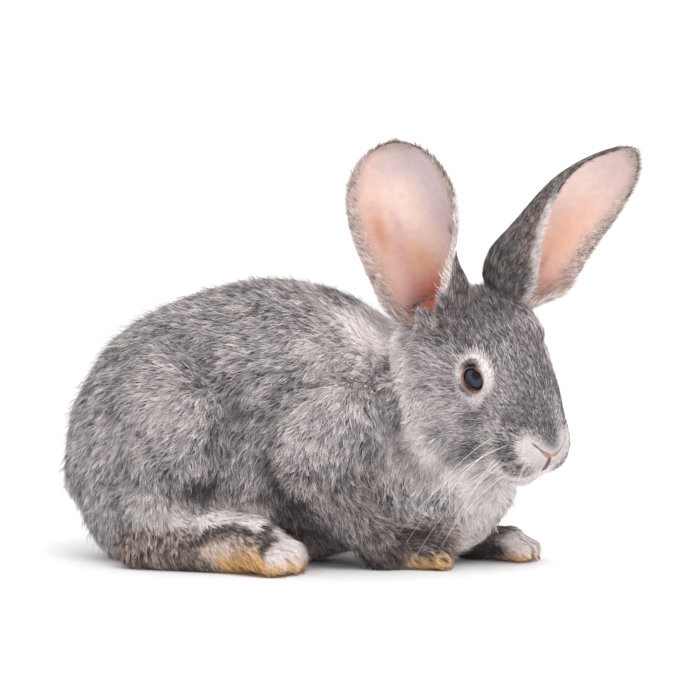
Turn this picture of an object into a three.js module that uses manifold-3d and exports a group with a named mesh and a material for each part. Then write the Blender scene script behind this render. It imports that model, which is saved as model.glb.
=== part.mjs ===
// A young grey domestic rabbit, life size, crouching with its head turned to its right and its ears up.
//
// Millimetres. +X runs towards the rabbit's front, +Y to its left, +Z up from the floor it crouches on.
// The surfaces are the outside of the coat. Every node is one closed body: its masses are blended
// ellipsoids and tapered limbs, a sphere is wrapped on to their common surface, and what grows from a
// node is set into it with a thin gap all round.

import * as THREE from "three";
import { mergeVertices } from "three/addons/utils/BufferGeometryUtils.js";
import Module from "manifold-3d";

const wasm = await Module();
wasm.setup();

// ---------------------------------------------------------------- driving dimensions

const GAP = 0.35; // clearance between neighbouring nodes
const BACK_HEIGHT = 170; // floor to the top of the back
const BODY_WIDTH = 118; // across the barrel of the torso
const EAR_LENGTH = 118; // root to tip, straight
const EAR_WIDTH = 71; // across the widest part of the opening
const EAR_THICK = 3.2; // at the ear's root; its tip has six tenths of it
const EYE_RADIUS = 9.2;
const EYE_APART = 19.5; // from the head's middle plane to the eye's centre
const LID_THICK = 2;
const EYE_OPENING = [8, 7]; // half the length and half the height between the lids

// The head's own frame starts midway between the eyes: x to the nose, y to the left, z to the crown.
const HEAD_ORIGIN = new THREE.Vector3(120.6, -42, 118);
const HEAD_YAW = -42; // degrees, turned to the right
const HEAD_PITCH = 32; // degrees, nose down
const HEAD_ROLL = 10; // degrees, left side up

const FINE = { head: 9, torso: 9, limb: 4, foot: 5, small: 3, cut: 1, claw: 0 }; // facets of each wrap

// ---------------------------------------------------------------- frames

const degrees = THREE.MathUtils.degToRad;

function frameAt(origin, yaw = 0, pitch = 0, roll = 0) {
  const turn = new THREE.Euler(degrees(roll), degrees(pitch), degrees(yaw), "ZYX");
  return new THREE.Matrix4().makeRotationFromEuler(turn).setPosition(origin);
}

const BODY = new THREE.Matrix4();
const HEAD = frameAt(HEAD_ORIGIN, HEAD_YAW, HEAD_PITCH, HEAD_ROLL);

const place = (frame, point) => new THREE.Vector3(...point).applyMatrix4(frame);

// ---------------------------------------------------------------- masses and their blended surface

// An ellipsoid: centre and radii in the frame, turned by pitch (nose down) and yaw in degrees.
function mass(frame, centre, radii, pitch = 0, yaw = 0) {
  const own = frame.clone().multiply(frameAt(new THREE.Vector3(...centre), yaw, pitch));
  const inverse = own.clone().invert();
  const [rx, ry, rz] = radii;
  const q = new THREE.Vector3();
  return (p) => {
    q.copy(p).applyMatrix4(inverse);
    const near = Math.hypot(q.x / rx, q.y / ry, q.z / rz);
    const slope = Math.hypot(q.x / (rx * rx), q.y / (ry * ry), q.z / (rz * rz));
    return slope < 1e-9 ? -Math.min(rx, ry, rz) : (near * (near - 1)) / slope;
  };
}

// A tapered limb from one joint to the next, with a radius at each end.
function limb(frame, from, to, fromRadius, toRadius) {
  const start = place(frame, from);
  const along = place(frame, to).sub(start);
  const squared = along.lengthSq();
  const q = new THREE.Vector3();
  return (p) => {
    const share = THREE.MathUtils.clamp(q.copy(p).sub(start).dot(along) / squared, 0, 1);
    return q.addScaledVector(along, -share).length() - THREE.MathUtils.lerp(fromRadius, toRadius, share);
  };
}

// The masses run together, with soft webs of about the blend's size where they meet.
function blended(blend, ...masses) {
  return (p) => {
    let least = Infinity;
    for (const distance of masses) {
      const next = distance(p);
      const web = Math.max(blend - Math.abs(least - next), 0) / blend;
      least = Math.min(least, next) - (least === Infinity ? 0 : (web * web * blend) / 4);
    }
    return least;
  };
}

// ---------------------------------------------------------------- wrapping and solids

function solidOf(geometry) {
  const bare = geometry.clone();
  for (const name of ["normal", "uv"]) bare.deleteAttribute(name);
  const merged = mergeVertices(bare, 1e-4);
  return new wasm.Manifold(
    new wasm.Mesh({
      numProp: 3,
      vertProperties: new Float32Array(merged.attributes.position.array),
      triVerts: new Uint32Array(merged.index.array),
    }),
  );
}

function geometryOf(solid) {
  const { numProp, vertProperties, triVerts } = solid.getMesh();
  const positions = new Float32Array((vertProperties.length / numProp) * 3);
  for (let i = 0; i * numProp < vertProperties.length; i++)
    positions.set(vertProperties.subarray(i * numProp, i * numProp + 3), i * 3);
  const geometry = new THREE.BufferGeometry();
  geometry.setAttribute("position", new THREE.BufferAttribute(positions, 3));
  geometry.setIndex(new THREE.BufferAttribute(new Uint32Array(triVerts), 1));
  geometry.computeVertexNormals();
  return geometry;
}

const LONGEST_RAY = 300;
const HALVINGS = 12; // of a ray's last millimetre

// Pulls a sphere on to a field's surface. The rays leave the core line from..to, so long forms get
// even facets. grow moves the surface outwards, for the clearance that a neighbour keeps.
function wrap(field, from, to, detail, grow = 0) {
  const sphere = new THREE.IcosahedronGeometry(1, detail);
  for (const name of ["normal", "uv"]) sphere.deleteAttribute(name);
  const geometry = mergeVertices(sphere, 1e-5);
  const middle = from.clone().add(to).multiplyScalar(0.5);
  const half = to.clone().sub(from).multiplyScalar(0.5);
  const axis = half.clone().normalize();
  const upright = new THREE.Quaternion().setFromUnitVectors(new THREE.Vector3(0, 0, 1), axis);
  const position = geometry.attributes.position;
  const ray = new THREE.Vector3();
  const start = new THREE.Vector3();
  const probe = new THREE.Vector3();
  const inside = (distance) => field(probe.copy(start).addScaledVector(ray, distance)) < grow;
  for (let i = 0; i < position.count; i++) {
    ray.fromBufferAttribute(position, i).applyQuaternion(upright);
    start.copy(middle).addScaledVector(half, ray.dot(axis));
    let reach = 0;
    while (inside(reach + 1) && reach < LONGEST_RAY) reach += 1;
    let beyond = reach + 1;
    for (let k = 0; k < HALVINGS; k++) {
      const centre = (reach + beyond) / 2;
      if (inside(centre)) reach = centre;
      else beyond = centre;
    }
    probe.copy(start).addScaledVector(ray, reach);
    position.setXYZ(i, probe.x, probe.y, probe.z);
  }
  return solidOf(geometry);
}

const largest = (solid) =>
  solid.decompose().reduce((best, piece) => (piece.volume() > best.volume() ? piece : best));

// Everything under the floor is cut off, which leaves flats at one level for what touches it.
const FLOOR = { width: 900, depth: 200 };
const slab = new THREE.BoxGeometry(FLOOR.width, FLOOR.width, FLOOR.depth);
const floor = solidOf(slab.translate(0, 0, -FLOOR.depth / 2));

// ---------------------------------------------------------------- materials

const coat = (color, roughness = 0.95) =>
  new THREE.MeshStandardMaterial({ color, roughness, metalness: 0 });
const GREY_COAT = coat(0x8f8a89);
const PALE_COAT = coat(0xc9c4c0);
const EAR_SKIN = coat(0xc9a79b, 0.7);
const FOOT_COAT = coat(0xa39a90);
const EYE_DARK = coat(0x14131a, 0.08);

// ---------------------------------------------------------------- nodes, in the order they are set in

const root = new THREE.Group();
const placed = []; // { name, cutter }: the grown form that later nodes are cut clear of

// A node is cut clear of every earlier node, and keeps its largest closed surface.
function addNode(name, material, solid, cutter) {
  let body = solid.subtract(floor);
  for (const earlier of placed) body = body.subtract(earlier.cutter);
  const mesh = new THREE.Mesh(geometryOf(largest(body)), material);
  mesh.name = name;
  root.add(mesh);
  placed.push({ name, cutter });
}

const wrapped = (field, from, to, detail, frame = BODY, grow = 0) =>
  wrap(field, place(frame, from), place(frame, to), detail, grow);
// A plain ellipsoid, turned like a mass.
const ball = (frame, centre, radii, detail, yaw = 0, pitch = 0) => {
  const [x, y, z] = centre;
  return wrapped(mass(frame, centre, radii, pitch, yaw), [x - 0.1, y, z], [x + 0.1, y, z], detail, frame);
};
function addWrapped(name, material, field, from, to, detail, frame = BODY) {
  const solid = wrapped(field, from, to, detail, frame);
  addNode(name, material, solid, wrapped(field, from, to, detail, frame, GAP));
}
const SIDES = [
  ["right", -1],
  ["left", 1],
];

// ---------------------------------------------------------------- eyes

for (const [side, sign] of SIDES) {
  const centre = [0, sign * EYE_APART, 0];
  addWrapped(
    `eye_${side}`,
    EYE_DARK,
    mass(HEAD, centre, [EYE_RADIUS, EYE_RADIUS, EYE_RADIUS]),
    centre,
    [0, sign * (EYE_APART + 0.5), 0],
    FINE.small,
    HEAD,
  );
}

// ---------------------------------------------------------------- head

const headField = blended(
  15,
  mass(HEAD, [-34, 0, -6], [44, 33, 30]), // skull
  mass(HEAD, [-4, 0, -2], [34, 26, 26]), // forehead
  mass(HEAD, [-44, 20, 8], [17, 14, 17]), // ear roots
  mass(HEAD, [-44, -20, 8], [17, 14, 17]),
  mass(HEAD, [-33, 17, -38], [49, 23, 40], 8), // cheeks
  mass(HEAD, [-33, -17, -38], [49, 23, 40], 8),
  mass(HEAD, [4, 0, -34], [34, 30, 27]), // between the cheeks and the muzzle
  mass(HEAD, [22, 0, -12], [30, 20, 24], 22), // bridge of the nose
  mass(HEAD, [34, 11, -32.5], [16, 14, 16]), // whisker pads
  mass(HEAD, [34, -11, -32.5], [16, 14, 16]),
  mass(HEAD, [43, 0, -19], [8, 8, 8]), // nose
  mass(BODY, [73, -24, 98], [29, 30, 42]), // coat pushed up behind the right cheek by the turned neck
);
let head = wrapped(headField, [-34, 0, -16], [26, 0, -20], FINE.head, HEAD);
const headCutter = wrapped(headField, [-34, 0, -16], [26, 0, -20], FINE.head, HEAD, GAP);
const OPENING_OUT = 8.5; // from the eye's centre to the middle of the opening
const OPENING_DEEP = 9;
for (const [, sign] of SIDES) {
  const eye = [0, sign * EYE_APART, 0];
  const looking = [0.34, sign * 0.9, 0.25];
  const centre = eye.map((value, axis) => value + OPENING_OUT * looking[axis]);
  const lids = ball(HEAD, eye, Array(3).fill(EYE_RADIUS + LID_THICK), FINE.small);
  const [long, high] = EYE_OPENING;
  const opening = ball(HEAD, centre, [long, OPENING_DEEP, high], FINE.small, -sign * 21);
  const nostril = ball(HEAD, [53, sign * 7, -19.2], [7, 2.2, 2.6], FINE.cut, -sign * 65, 35);
  head = head.add(lids).subtract(opening).subtract(nostril);
}
const split = ball(HEAD, [55, 0, -32], [5, 1.2, 9], FINE.cut); // of the upper lip
head = head.subtract(split);
addNode("head", GREY_COAT, head, headCutter);

const jawField = blended(8, limb(HEAD, [2, 0, -50], [34, 0, -47], 20, 11));
addWrapped("lower_jaw", PALE_COAT, jawField, [6, 0, -50], [33, 0, -47], FINE.small, HEAD);

// ---------------------------------------------------------------- ears

const EAR_ROWS = 16;
const EAR_COLUMNS = 10;
const WIDEST = 0.58; // share of the ear's length

// Half the width of the opening and half the angle that the sheet turns through, along the ear.
function earWidth(t) {
  const above = Math.max(t - WIDEST, 0) / (1 - WIDEST);
  const below = Math.max(WIDEST - t, 0) / WIDEST;
  return (EAR_WIDTH / 2) * Math.sqrt(Math.max(1 - above ** 2, 0.003)) * (1 - 0.7 * below ** 2);
}
const earCurl = (t) => 0.65 + 2 * (1 - THREE.MathUtils.smoothstep(t, -0.1, 0.75)) ** 1.4;

// A sheet rolled to a tube at the root and opening to a shallow cup, with its tip round. grow thickens
// it and widens its rim, for the clearance that a neighbour keeps.
function earSolid({ base, tip, openings, bow }, grow = 0) {
  const middle = base.clone().lerp(tip, 0.5).add(bow);
  const line = new THREE.QuadraticBezierCurve3(base, middle, tip);
  const ring = 2 * (EAR_COLUMNS + 1);
  const positions = [];
  for (let row = 0; row <= EAR_ROWS; row++) {
    const share = row / EAR_ROWS;
    const t = (share + Math.sin((share * Math.PI) / 2)) / 2;
    const centre = line.getPoint(t);
    const along = line.getTangent(t);
    const opening = openings[0].clone().lerp(openings[1], t);
    const lateral = new THREE.Vector3().crossVectors(along, opening).normalize();
    const facing = new THREE.Vector3().crossVectors(lateral, along).normalize();
    const curl = earCurl(t);
    const radius = earWidth(t) / Math.sin(Math.min(curl, Math.PI / 2));
    for (let i = 0; i < ring; i++) {
      const inner = i > EAR_COLUMNS;
      const across = ((inner ? ring - 1 - i : i) / EAR_COLUMNS) * 2 - 1;
      const rim = Math.sqrt(1 - across ** 4);
      const thick = EAR_THICK * THREE.MathUtils.lerp(1, 0.6, t) * (0.45 + 0.55 * rim) + 2 * grow;
      const r = radius + (inner ? -thick : thick) / 2;
      const angle = across * (curl + grow / radius);
      const point = centre.clone().addScaledVector(lateral, r * Math.sin(angle));
      point.addScaledVector(facing, (radius * (1 + Math.cos(curl))) / 2 - r * Math.cos(angle));
      positions.push(point.x, point.y, point.z);
    }
  }
  const triangles = [];
  for (let row = 0; row < EAR_ROWS; row++)
    for (let i = 0; i < ring; i++) {
      const a = row * ring + i;
      const b = row * ring + ((i + 1) % ring);
      triangles.push(a, b + ring, b, a, a + ring, b + ring);
    }
  for (let i = 0; i < EAR_COLUMNS; i++) {
    const corners = [i, i + 1, ring - 2 - i, ring - 1 - i];
    const [a, b, c, d] = corners;
    triangles.push(a, b, c, a, c, d);
    const [e, f, g, h] = corners.map((corner) => corner + EAR_ROWS * ring);
    triangles.push(e, g, f, e, h, g);
  }
  const geometry = new THREE.BufferGeometry();
  geometry.setAttribute("position", new THREE.Float32BufferAttribute(positions, 3));
  geometry.setIndex(triangles);
  return solidOf(geometry);
}

// An ear by its tip, the way it points, which way the cup opens at its root and tip, and its bow.
function ear(tip, direction, rootOpening, tipOpening, bow) {
  const vector = (values) => new THREE.Vector3(...values);
  const base = vector(tip).addScaledVector(vector(direction).normalize(), -EAR_LENGTH);
  return { base, tip: vector(tip), openings: [vector(rootOpening), vector(tipOpening)], bow: vector(bow) };
}
const EARS = {
  right: ear([56.5, -54, 249], [-32, -20, 110], [-0.8, -0.6, 0], [-0.1, -1, 0.1], [-11, 2, 0]),
  left: ear([190.5, 5, 245], [78, 13, 91], [0.82, -0.57, 0], [0.95, -0.29, -0.15], [-20, 0, 6]),
};
for (const [side] of SIDES)
  addNode(`ear_${side}`, EAR_SKIN, earSolid(EARS[side]), earSolid(EARS[side], GAP));

// ---------------------------------------------------------------- torso and neck

const torsoField = blended(
  26,
  mass(BODY, [-82, 0, 64], [75, 59, 83]), // rump
  mass(BODY, [-26, 0, 96], [90, BODY_WIDTH / 2, BACK_HEIGHT - 96]), // back
  mass(BODY, [-20, 0, 50], [84, BODY_WIDTH / 2 - 4, 50]), // belly
  mass(BODY, [10, 0, 84], [46, 48, 60]), // shoulders
  mass(BODY, [76, -2, 48], [38, 34, 46]), // brisket
);
addWrapped("torso", GREY_COAT, torsoField, [-80, 0, 76], [50, 0, 66], FINE.torso);

const neckField = blended(
  14,
  limb(BODY, [30, 2, 103], [76, 0, 108], 44, 34),
  mass(BODY, [94, -8, 56], [30, 32, 35]), // throat
);
addWrapped("neck", GREY_COAT, neckField, [52, -4, 100], [88, -8, 70], FINE.limb);

// ---------------------------------------------------------------- upper legs

const UPPER_ARMS = {
  right: { shoulder: [24, -36, 88], elbow: [2, -44, 68] },
  left: { shoulder: [34, 36, 88], elbow: [18, 44, 68] },
};
const FOREARMS = {
  right: { elbow: [4, -47, 52], wrist: [46, -36, 14] },
  left: { elbow: [24, 44, 52], wrist: [90, 24, 14] },
};
for (const [side, sign] of SIDES) {
  const thigh = mass(BODY, [-70, sign * 42, 78], [42, 31, 58], -10);
  addWrapped(`thigh_${side}`, GREY_COAT, thigh, [-72, sign * 42, 68], [-68, sign * 42, 90], FINE.limb);
  const { shoulder, elbow } = UPPER_ARMS[side];
  const arm = limb(BODY, shoulder, elbow, 32, 27);
  addWrapped(`upper_arm_${side}`, GREY_COAT, arm, shoulder, elbow, FINE.limb);
}

// ---------------------------------------------------------------- feet

const TOES = 4;
const CLAW_LENGTH = 1.5; // beyond the coat of the toe
const CLAW_RADII = [1.7, 0.6];
const CLAW_HEIGHT = 2.2; // of its point above the floor

// A foot rests along heel..ball with its toes fanned from the ball. Each toe ends in a claw.
function addFoot(name, { heel, instep, tip, heelRadius, ballRadius, toeRadius, spread }) {
  const from = new THREE.Vector3(...instep);
  const along = new THREE.Vector3(...tip).sub(from);
  const forwards = along.clone().normalize();
  const sideways = new THREE.Vector3(-along.y, along.x, 0).normalize();
  const parts = [limb(BODY, heel, instep, heelRadius, ballRadius)];
  let claws = null;
  for (let i = 0; i < TOES; i++) {
    const share = (i / (TOES - 1)) * 2 - 1;
    const base = from.clone().addScaledVector(sideways, share * spread * 0.6);
    const end = from.clone().addScaledVector(along, 1 - 0.16 * share * share);
    end.addScaledVector(sideways, share * spread);
    parts.push(limb(BODY, base.toArray(), end.toArray(), toeRadius * 1.25, toeRadius));
    const point = end.clone().addScaledVector(forwards, toeRadius + CLAW_LENGTH).setZ(CLAW_HEIGHT);
    const line = [end.toArray(), point.toArray()];
    const claw = wrapped(limb(BODY, ...line, ...CLAW_RADII), ...line, FINE.claw);
    claws = claws ? claws.add(claw) : claw;
  }
  const field = blended(4, ...parts);
  const cutter = wrapped(field, heel, instep, FINE.foot, BODY, GAP);
  addNode(name, FOOT_COAT, wrapped(field, heel, instep, FINE.foot).add(claws), cutter);
}
const HIND = { heelRadius: 15, ballRadius: 17, toeRadius: 9, spread: 14 };
const FORE = { heelRadius: 11, ballRadius: 11.5, toeRadius: 6.5, spread: 11 };
addFoot("hind_foot_right", { ...HIND, heel: [-94, -54, 13], instep: [-26, -66, 14], tip: [-3, -71, 8] });
addFoot("hind_foot_left", { ...HIND, heel: [-94, 54, 13], instep: [-26, 66, 14], tip: [-3, 71, 8] });
addFoot("forepaw_right", { ...FORE, heel: [46, -34, 10], instep: [68, -30, 10], tip: [81, -27, 6] });
addFoot("forepaw_left", { ...FORE, heel: [92, 22, 10], instep: [114, 20, 10], tip: [127, 18, 6] });

// ---------------------------------------------------------------- lower legs and tail

for (const [side, sign] of SIDES) {
  const shank = mass(BODY, [-80, sign * 50, 38], [34, 21, 26]);
  addWrapped(`shank_${side}`, GREY_COAT, shank, [-82, sign * 50, 38], [-74, sign * 50, 38], FINE.limb);
  const { elbow, wrist } = FOREARMS[side];
  const arm = limb(BODY, elbow, wrist, 22, 13);
  addWrapped(`forearm_${side}`, GREY_COAT, arm, elbow, wrist, FINE.limb);
}

const tailField = limb(BODY, [-140, 0, 86], [-146, 0, 46], 12, 14);
addWrapped("tail", PALE_COAT, tailField, [-140, 0, 80], [-146, 0, 48], FINE.small);

// ---------------------------------------------------------------- origin

// The origin is on the floor, under the middle of the rabbit's outline seen from above.
const middle = new THREE.Box3().setFromObject(root).getCenter(new THREE.Vector3());
for (const mesh of root.children) mesh.geometry.translate(-middle.x, -middle.y, 0);

export default root;
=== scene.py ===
"""Skin, coat, ears, eyes, claws and whiskers of a young grey domestic rabbit, crouching.

Lengths are millimetres until a mesh is made, in the frame of the CAD: +X towards the rabbit's
front, +Y to its left, +Z up from the floor. Angles are degrees.
"""

import math

import bmesh
import bpy
import numpy as np
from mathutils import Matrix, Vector, kdtree


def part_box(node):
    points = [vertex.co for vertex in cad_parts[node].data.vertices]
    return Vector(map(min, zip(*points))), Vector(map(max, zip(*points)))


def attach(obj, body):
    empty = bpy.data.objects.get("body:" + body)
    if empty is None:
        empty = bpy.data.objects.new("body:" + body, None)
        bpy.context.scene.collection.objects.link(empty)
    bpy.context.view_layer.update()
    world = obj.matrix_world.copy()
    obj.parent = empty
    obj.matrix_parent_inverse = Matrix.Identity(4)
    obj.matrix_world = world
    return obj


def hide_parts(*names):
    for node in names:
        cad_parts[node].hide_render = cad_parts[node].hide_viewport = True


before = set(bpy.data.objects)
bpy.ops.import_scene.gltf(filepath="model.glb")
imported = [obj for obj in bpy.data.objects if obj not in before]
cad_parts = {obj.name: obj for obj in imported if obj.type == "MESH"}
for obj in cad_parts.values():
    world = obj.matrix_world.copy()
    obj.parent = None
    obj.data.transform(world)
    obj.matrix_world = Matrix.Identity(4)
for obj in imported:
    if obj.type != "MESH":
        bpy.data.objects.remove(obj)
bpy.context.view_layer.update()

MM = 0.001
SEED = 20

# ---------------------------------------------------------------- driving dimensions of the CAD

HEAD_ORIGIN = (120.6, -42, 118)
HEAD_TURN = (-42, 32, 10)  # yaw to the right, nose down, left side up
EYE_RADIUS = 9.2
EYE_APART = 19.5
EAR_LENGTH = 118
EAR_WIDTH = 71
EAR_THICK = 3.2
BACK_HEIGHT = 170
BODY_WIDTH = 118
SIDES = {"right": -1, "left": 1}


def unit(v):
    v = np.asarray(v, float)
    return v / np.maximum(np.linalg.norm(v, axis=-1, keepdims=True), 1e-9)


def turn(yaw=0, pitch=0, roll=0):
    """Rotation matrix: roll about x, then pitch about y (nose down), then yaw about z."""
    cy, cp, cr = (math.cos(math.radians(a)) for a in (yaw, pitch, roll))
    sy, sp, sr = (math.sin(math.radians(a)) for a in (yaw, pitch, roll))
    about_z = np.array([[cy, -sy, 0], [sy, cy, 0], [0, 0, 1]])
    about_y = np.array([[cp, 0, sp], [0, 1, 0], [-sp, 0, cp]])
    about_x = np.array([[1, 0, 0], [0, cr, -sr], [0, sr, cr]])
    return about_z @ about_y @ about_x


class Place:
    """A frame to lay things out in: its own x, y, z and the point they start from."""

    def __init__(self, origin=(0, 0, 0), rotation=None):
        self.origin = np.asarray(origin, float)
        self.rotation = np.eye(3) if rotation is None else rotation

    def point(self, p):
        return self.origin + np.asarray(p, float) @ self.rotation.T

    def way(self, d):
        return np.asarray(d, float) @ self.rotation.T

    def local(self, p):
        return (p - self.origin) @ self.rotation


def cad_shift():
    """The CAD is centred over the floor after it is laid out; the right eye says by how much."""
    low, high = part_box("eye_right")
    eye = np.array((low + high) / 2) / MM
    laid_out = np.array(HEAD_ORIGIN) + turn(*HEAD_TURN) @ np.array([0, -EYE_APART, 0])
    shift = eye - laid_out
    shift[2] = 0
    return shift


BODY = Place(cad_shift())
HEAD = Place(BODY.point(HEAD_ORIGIN), turn(*HEAD_TURN))

# ---------------------------------------------------------------- masses of the flesh


def smoothstep(x, low, high):
    t = np.clip((x - low) / (high - low), 0, 1)
    return t * t * (3 - 2 * t)


def fade(x, low, high):
    """1 up to the low value, 0 from the high one on."""
    return 1 - smoothstep(x, low, high)


def mixed(a, b, share):
    return a * (1 - share) + b * share


def from_line(points, a, b):
    """How far along the line from a to b the points lie, as a share, and their way from it."""
    along = b - a
    share = np.clip((points - a) @ along / (along @ along), 0, 1)
    return share, points - a - share[:, None] * along


def web(blend, a, b):
    """How much two fields round each other off where they meet."""
    near = np.maximum(blend - np.abs(a - b), 0) / blend
    return near * near * blend / 4


def mass(place, centre, radii, pitch=0):
    """Distance to an ellipsoid, as the CAD has it."""
    own = Place(place.point(centre), place.rotation @ turn(0, pitch))
    radii = np.asarray(radii, float)

    def distance(p):
        q = own.local(p)
        near = np.linalg.norm(q / radii, axis=1)
        slope = np.linalg.norm(q / radii**2, axis=1)
        return near * (near - 1) / np.maximum(slope, 1e-9)

    return distance


def limb(place, start, end, start_radius, end_radius):
    """Distance to a tapered limb."""
    a, b = place.point(start), place.point(end)

    def distance(p):
        share, apart = from_line(p, a, b)
        return np.linalg.norm(apart, axis=1) - (start_radius + (end_radius - start_radius) * share)

    return distance


def blended(blend, *masses):
    """The masses run together with soft webs."""

    def distance(p):
        least = masses[0](p)
        for other in masses[1:]:
            after = other(p)
            least = np.minimum(least, after) - web(blend, least, after)
        return least

    return distance


def carved(field, blend, *hollows):
    """The field with hollows sunk into it, their edges rounded."""

    def distance(p):
        least = field(p)
        for hollow in hollows:
            after = -hollow(p)
            least = np.maximum(least, after) + web(blend, least, after)
        return least

    return distance


head_mass = blended(
    15,
    mass(HEAD, [-34, 0, -6], [44, 33, 30]),
    mass(HEAD, [-4, 0, -2], [34, 26, 26]),
    mass(HEAD, [-44, 20, 8], [17, 14, 17]),
    mass(HEAD, [-44, -20, 8], [17, 14, 17]),
    mass(HEAD, [-33, 17, -38], [49, 23, 40], 8),
    mass(HEAD, [-33, -17, -38], [49, 23, 40], 8),
    mass(HEAD, [4, 0, -34], [34, 30, 27]),
    mass(HEAD, [22, 0, -12], [30, 20, 24], 22),
    mass(HEAD, [34, 11, -32.5], [16, 14, 16]),
    mass(HEAD, [34, -11, -32.5], [16, 14, 16]),
    mass(HEAD, [43, 0, -19], [8, 8, 8]),
    mass(BODY, [73, -24, 98], [29, 30, 42]),
)
jaw_mass = limb(HEAD, [2, 0, -50], [34, 0, -47], 20, 11)
torso_mass = blended(
    26,
    mass(BODY, [-82, 0, 64], [75, 59, 83]),
    mass(BODY, [-26, 0, 96], [90, BODY_WIDTH / 2, BACK_HEIGHT - 96]),
    mass(BODY, [-20, 0, 50], [84, BODY_WIDTH / 2 - 4, 50]),
    mass(BODY, [10, 0, 84], [46, 48, 60]),
    mass(BODY, [76, -2, 48], [38, 34, 46]),
)
neck_mass = blended(
    14,
    limb(BODY, [30, 2, 103], [76, 0, 108], 44, 34),
    mass(BODY, [94, -8, 56], [30, 32, 35]),
)
UPPER_ARMS = {
    "right": ([24, -36, 88], [2, -44, 68]),
    "left": ([34, 36, 88], [18, 44, 68]),
}
FOREARMS = {
    "right": ([4, -47, 52], [46, -36, 14]),
    "left": ([24, 44, 52], [90, 24, 14]),
}
TOES = 4
HIND = {"radii": (15, 17, 9), "spread": 14}
FORE = {"radii": (11, 11.5, 6.5), "spread": 11}
FEET = {
    "hind_foot_right": ([-94, -54, 13], [-26, -66, 14], [-3, -71, 8], HIND),
    "hind_foot_left": ([-94, 54, 13], [-26, 66, 14], [-3, 71, 8], HIND),
    "forepaw_right": ([46, -34, 10], [68, -30, 10], [81, -27, 6], FORE),
    "forepaw_left": ([92, 22, 10], [114, 20, 10], [127, 18, 6], FORE),
}


def toes_of(foot):
    """The base and end of each toe, and the way the foot points."""
    _, instep, tip, kind = FEET[foot]
    start, end = BODY.point(instep), BODY.point(tip)
    along = end - start
    sideways = unit([-along[1], along[0], 0])
    toes = []
    for i in range(TOES):
        share = i / (TOES - 1) * 2 - 1
        base = start + sideways * share * kind["spread"] * 0.6
        toe_end = start + along * (1 - 0.16 * share * share)
        toes.append((base, toe_end + sideways * share * kind["spread"]))
    return toes, unit(along)


def foot_mass(foot):
    heel, instep, _, kind = FEET[foot]
    heel_radius, instep_radius, toe_radius = kind["radii"]
    parts = [limb(BODY, heel, instep, heel_radius, instep_radius)]
    world = Place()
    for base, end in toes_of(foot)[0]:
        parts.append(limb(world, base, end, toe_radius * 1.25, toe_radius))
    return blended(4, *parts)


def leg_masses():
    legs = []
    for side, sign in SIDES.items():
        legs.append(mass(BODY, [-70, sign * 42, 78], [42, 31, 58], -10))
        legs.append(limb(BODY, *UPPER_ARMS[side], 32, 27))
        legs.append(mass(BODY, [-80, sign * 50, 38], [34, 21, 26]))
        legs.append(limb(BODY, *FOREARMS[side], 22, 13))
    return legs


tail_mass = limb(BODY, [-140, 0, 86], [-146, 0, 46], 12, 14)
flesh = blended(
    9,
    blended(5, head_mass, jaw_mass),
    torso_mass,
    neck_mass,
    *leg_masses(),
    *(foot_mass(foot) for foot in FEET),
)
flesh = blended(18, flesh, tail_mass)

# Lines along the body with the width of the fold or swell there, how deep it is, and how much
# darker the hair is: painted shade in the folds and, below 0, painted light on the swells. A swell
# is less than 0 deep. Rows of the second list are on both sides.
FOLDS = [
    ([(-160, 0, 100), (-160, 0, 30)], 34, 6.5, 0),
    ([(134, -24, 152), (136, -30, 140)], 9, -6.5, -0.5),
    ([(48, -31, 124), (50, -38, 114), (54, -46, 100), (56, -48, 88), (60, -46, 74), (66, -42, 60)],
     5.5, 5, 0.5),
    ([(57, -32, 134), (61, -43, 121), (64, -50, 104), (67, -51, 90), (75, -47, 72)], 7, -2.5, -0.2),
    ([(27, -48, 119), (13, -54, 114), (2, -57, 107), (-10, -59, 97), (-16, -60, 85),
      (-18, -62, 74), (-15, -64, 62), (-8, -64, 48), (0, -60, 35)], 6.5, 5.5, 0.42),
    ([(22, -58, 108), (6, -62, 98), (-3, -64, 84), (-4, -65, 70), (4, -66, 54)], 10, -4, -0.22),
    ([(37, 48, 119), (23, 54, 114), (12, 57, 107), (0, 59, 97), (-6, 60, 85), (-7, 62, 74),
      (-4, 64, 62), (3, 64, 48)], 6.5, 5.5, 0.28),
    ([(32, 58, 108), (16, 62, 98), (7, 64, 84), (6, 65, 70), (14, 66, 54)], 10, -4, -0.12),
]
SIDE_FOLDS = [
    ([(-70, 50, 134), (-55, 54, 122), (-46, 58, 108), (-40, 60, 92), (-38, 61, 76),
      (-41, 63, 61), (-46, 64, 49)], 8, 6, 0.3),
    ([(-58, 67, 48), (-50, 64, 51)], 7, 4.5, 0.3),
    ([(-98, 65, 86), (-106, 58, 73), (-109, 55, 58), (-108, 60, 41), (-107, 56, 25)], 6, 5, 0.18),
    ([(-80, 68, 106), (-62, 67, 96), (-56, 68, 80), (-64, 70, 66), (-84, 70, 62)], 14, -3.5, -0.1),
    ([(-50, 67, 30), (-36, 68, 31), (-24, 68, 28), (-12, 70, 22), (-2, 72, 17)], 9, -5.5, 0),
]
FOLDS += [([(x, sign * y, z) for x, y, z in line], *rest) for line, *rest in SIDE_FOLDS
          for sign in SIDES.values()]


def line_distance(points, line):
    """How far the points are from a line of straight pieces."""
    least = np.full(len(points), np.inf)
    for a, b in zip(line, line[1:]):
        least = np.minimum(least, (from_line(points, a, b)[1] ** 2).sum(1))
    return np.sqrt(least)


def folded(points, value):
    """The folds' depths, or the painted shade and light they add to the hair's tone, at the points.
    """
    total = np.zeros(len(points))
    for line, width, *values in FOLDS:
        line = BODY.point(line)
        low, high = line.min(0) - 2.5 * width, line.max(0) + 2.5 * width
        own = np.flatnonzero(((points > low) & (points < high)).all(1))
        near = np.exp(-((line_distance(points[own], line) / width) ** 2))
        total[own] += values[value] * near
    return total


# ---------------------------------------------------------------- lie of the coat

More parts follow.
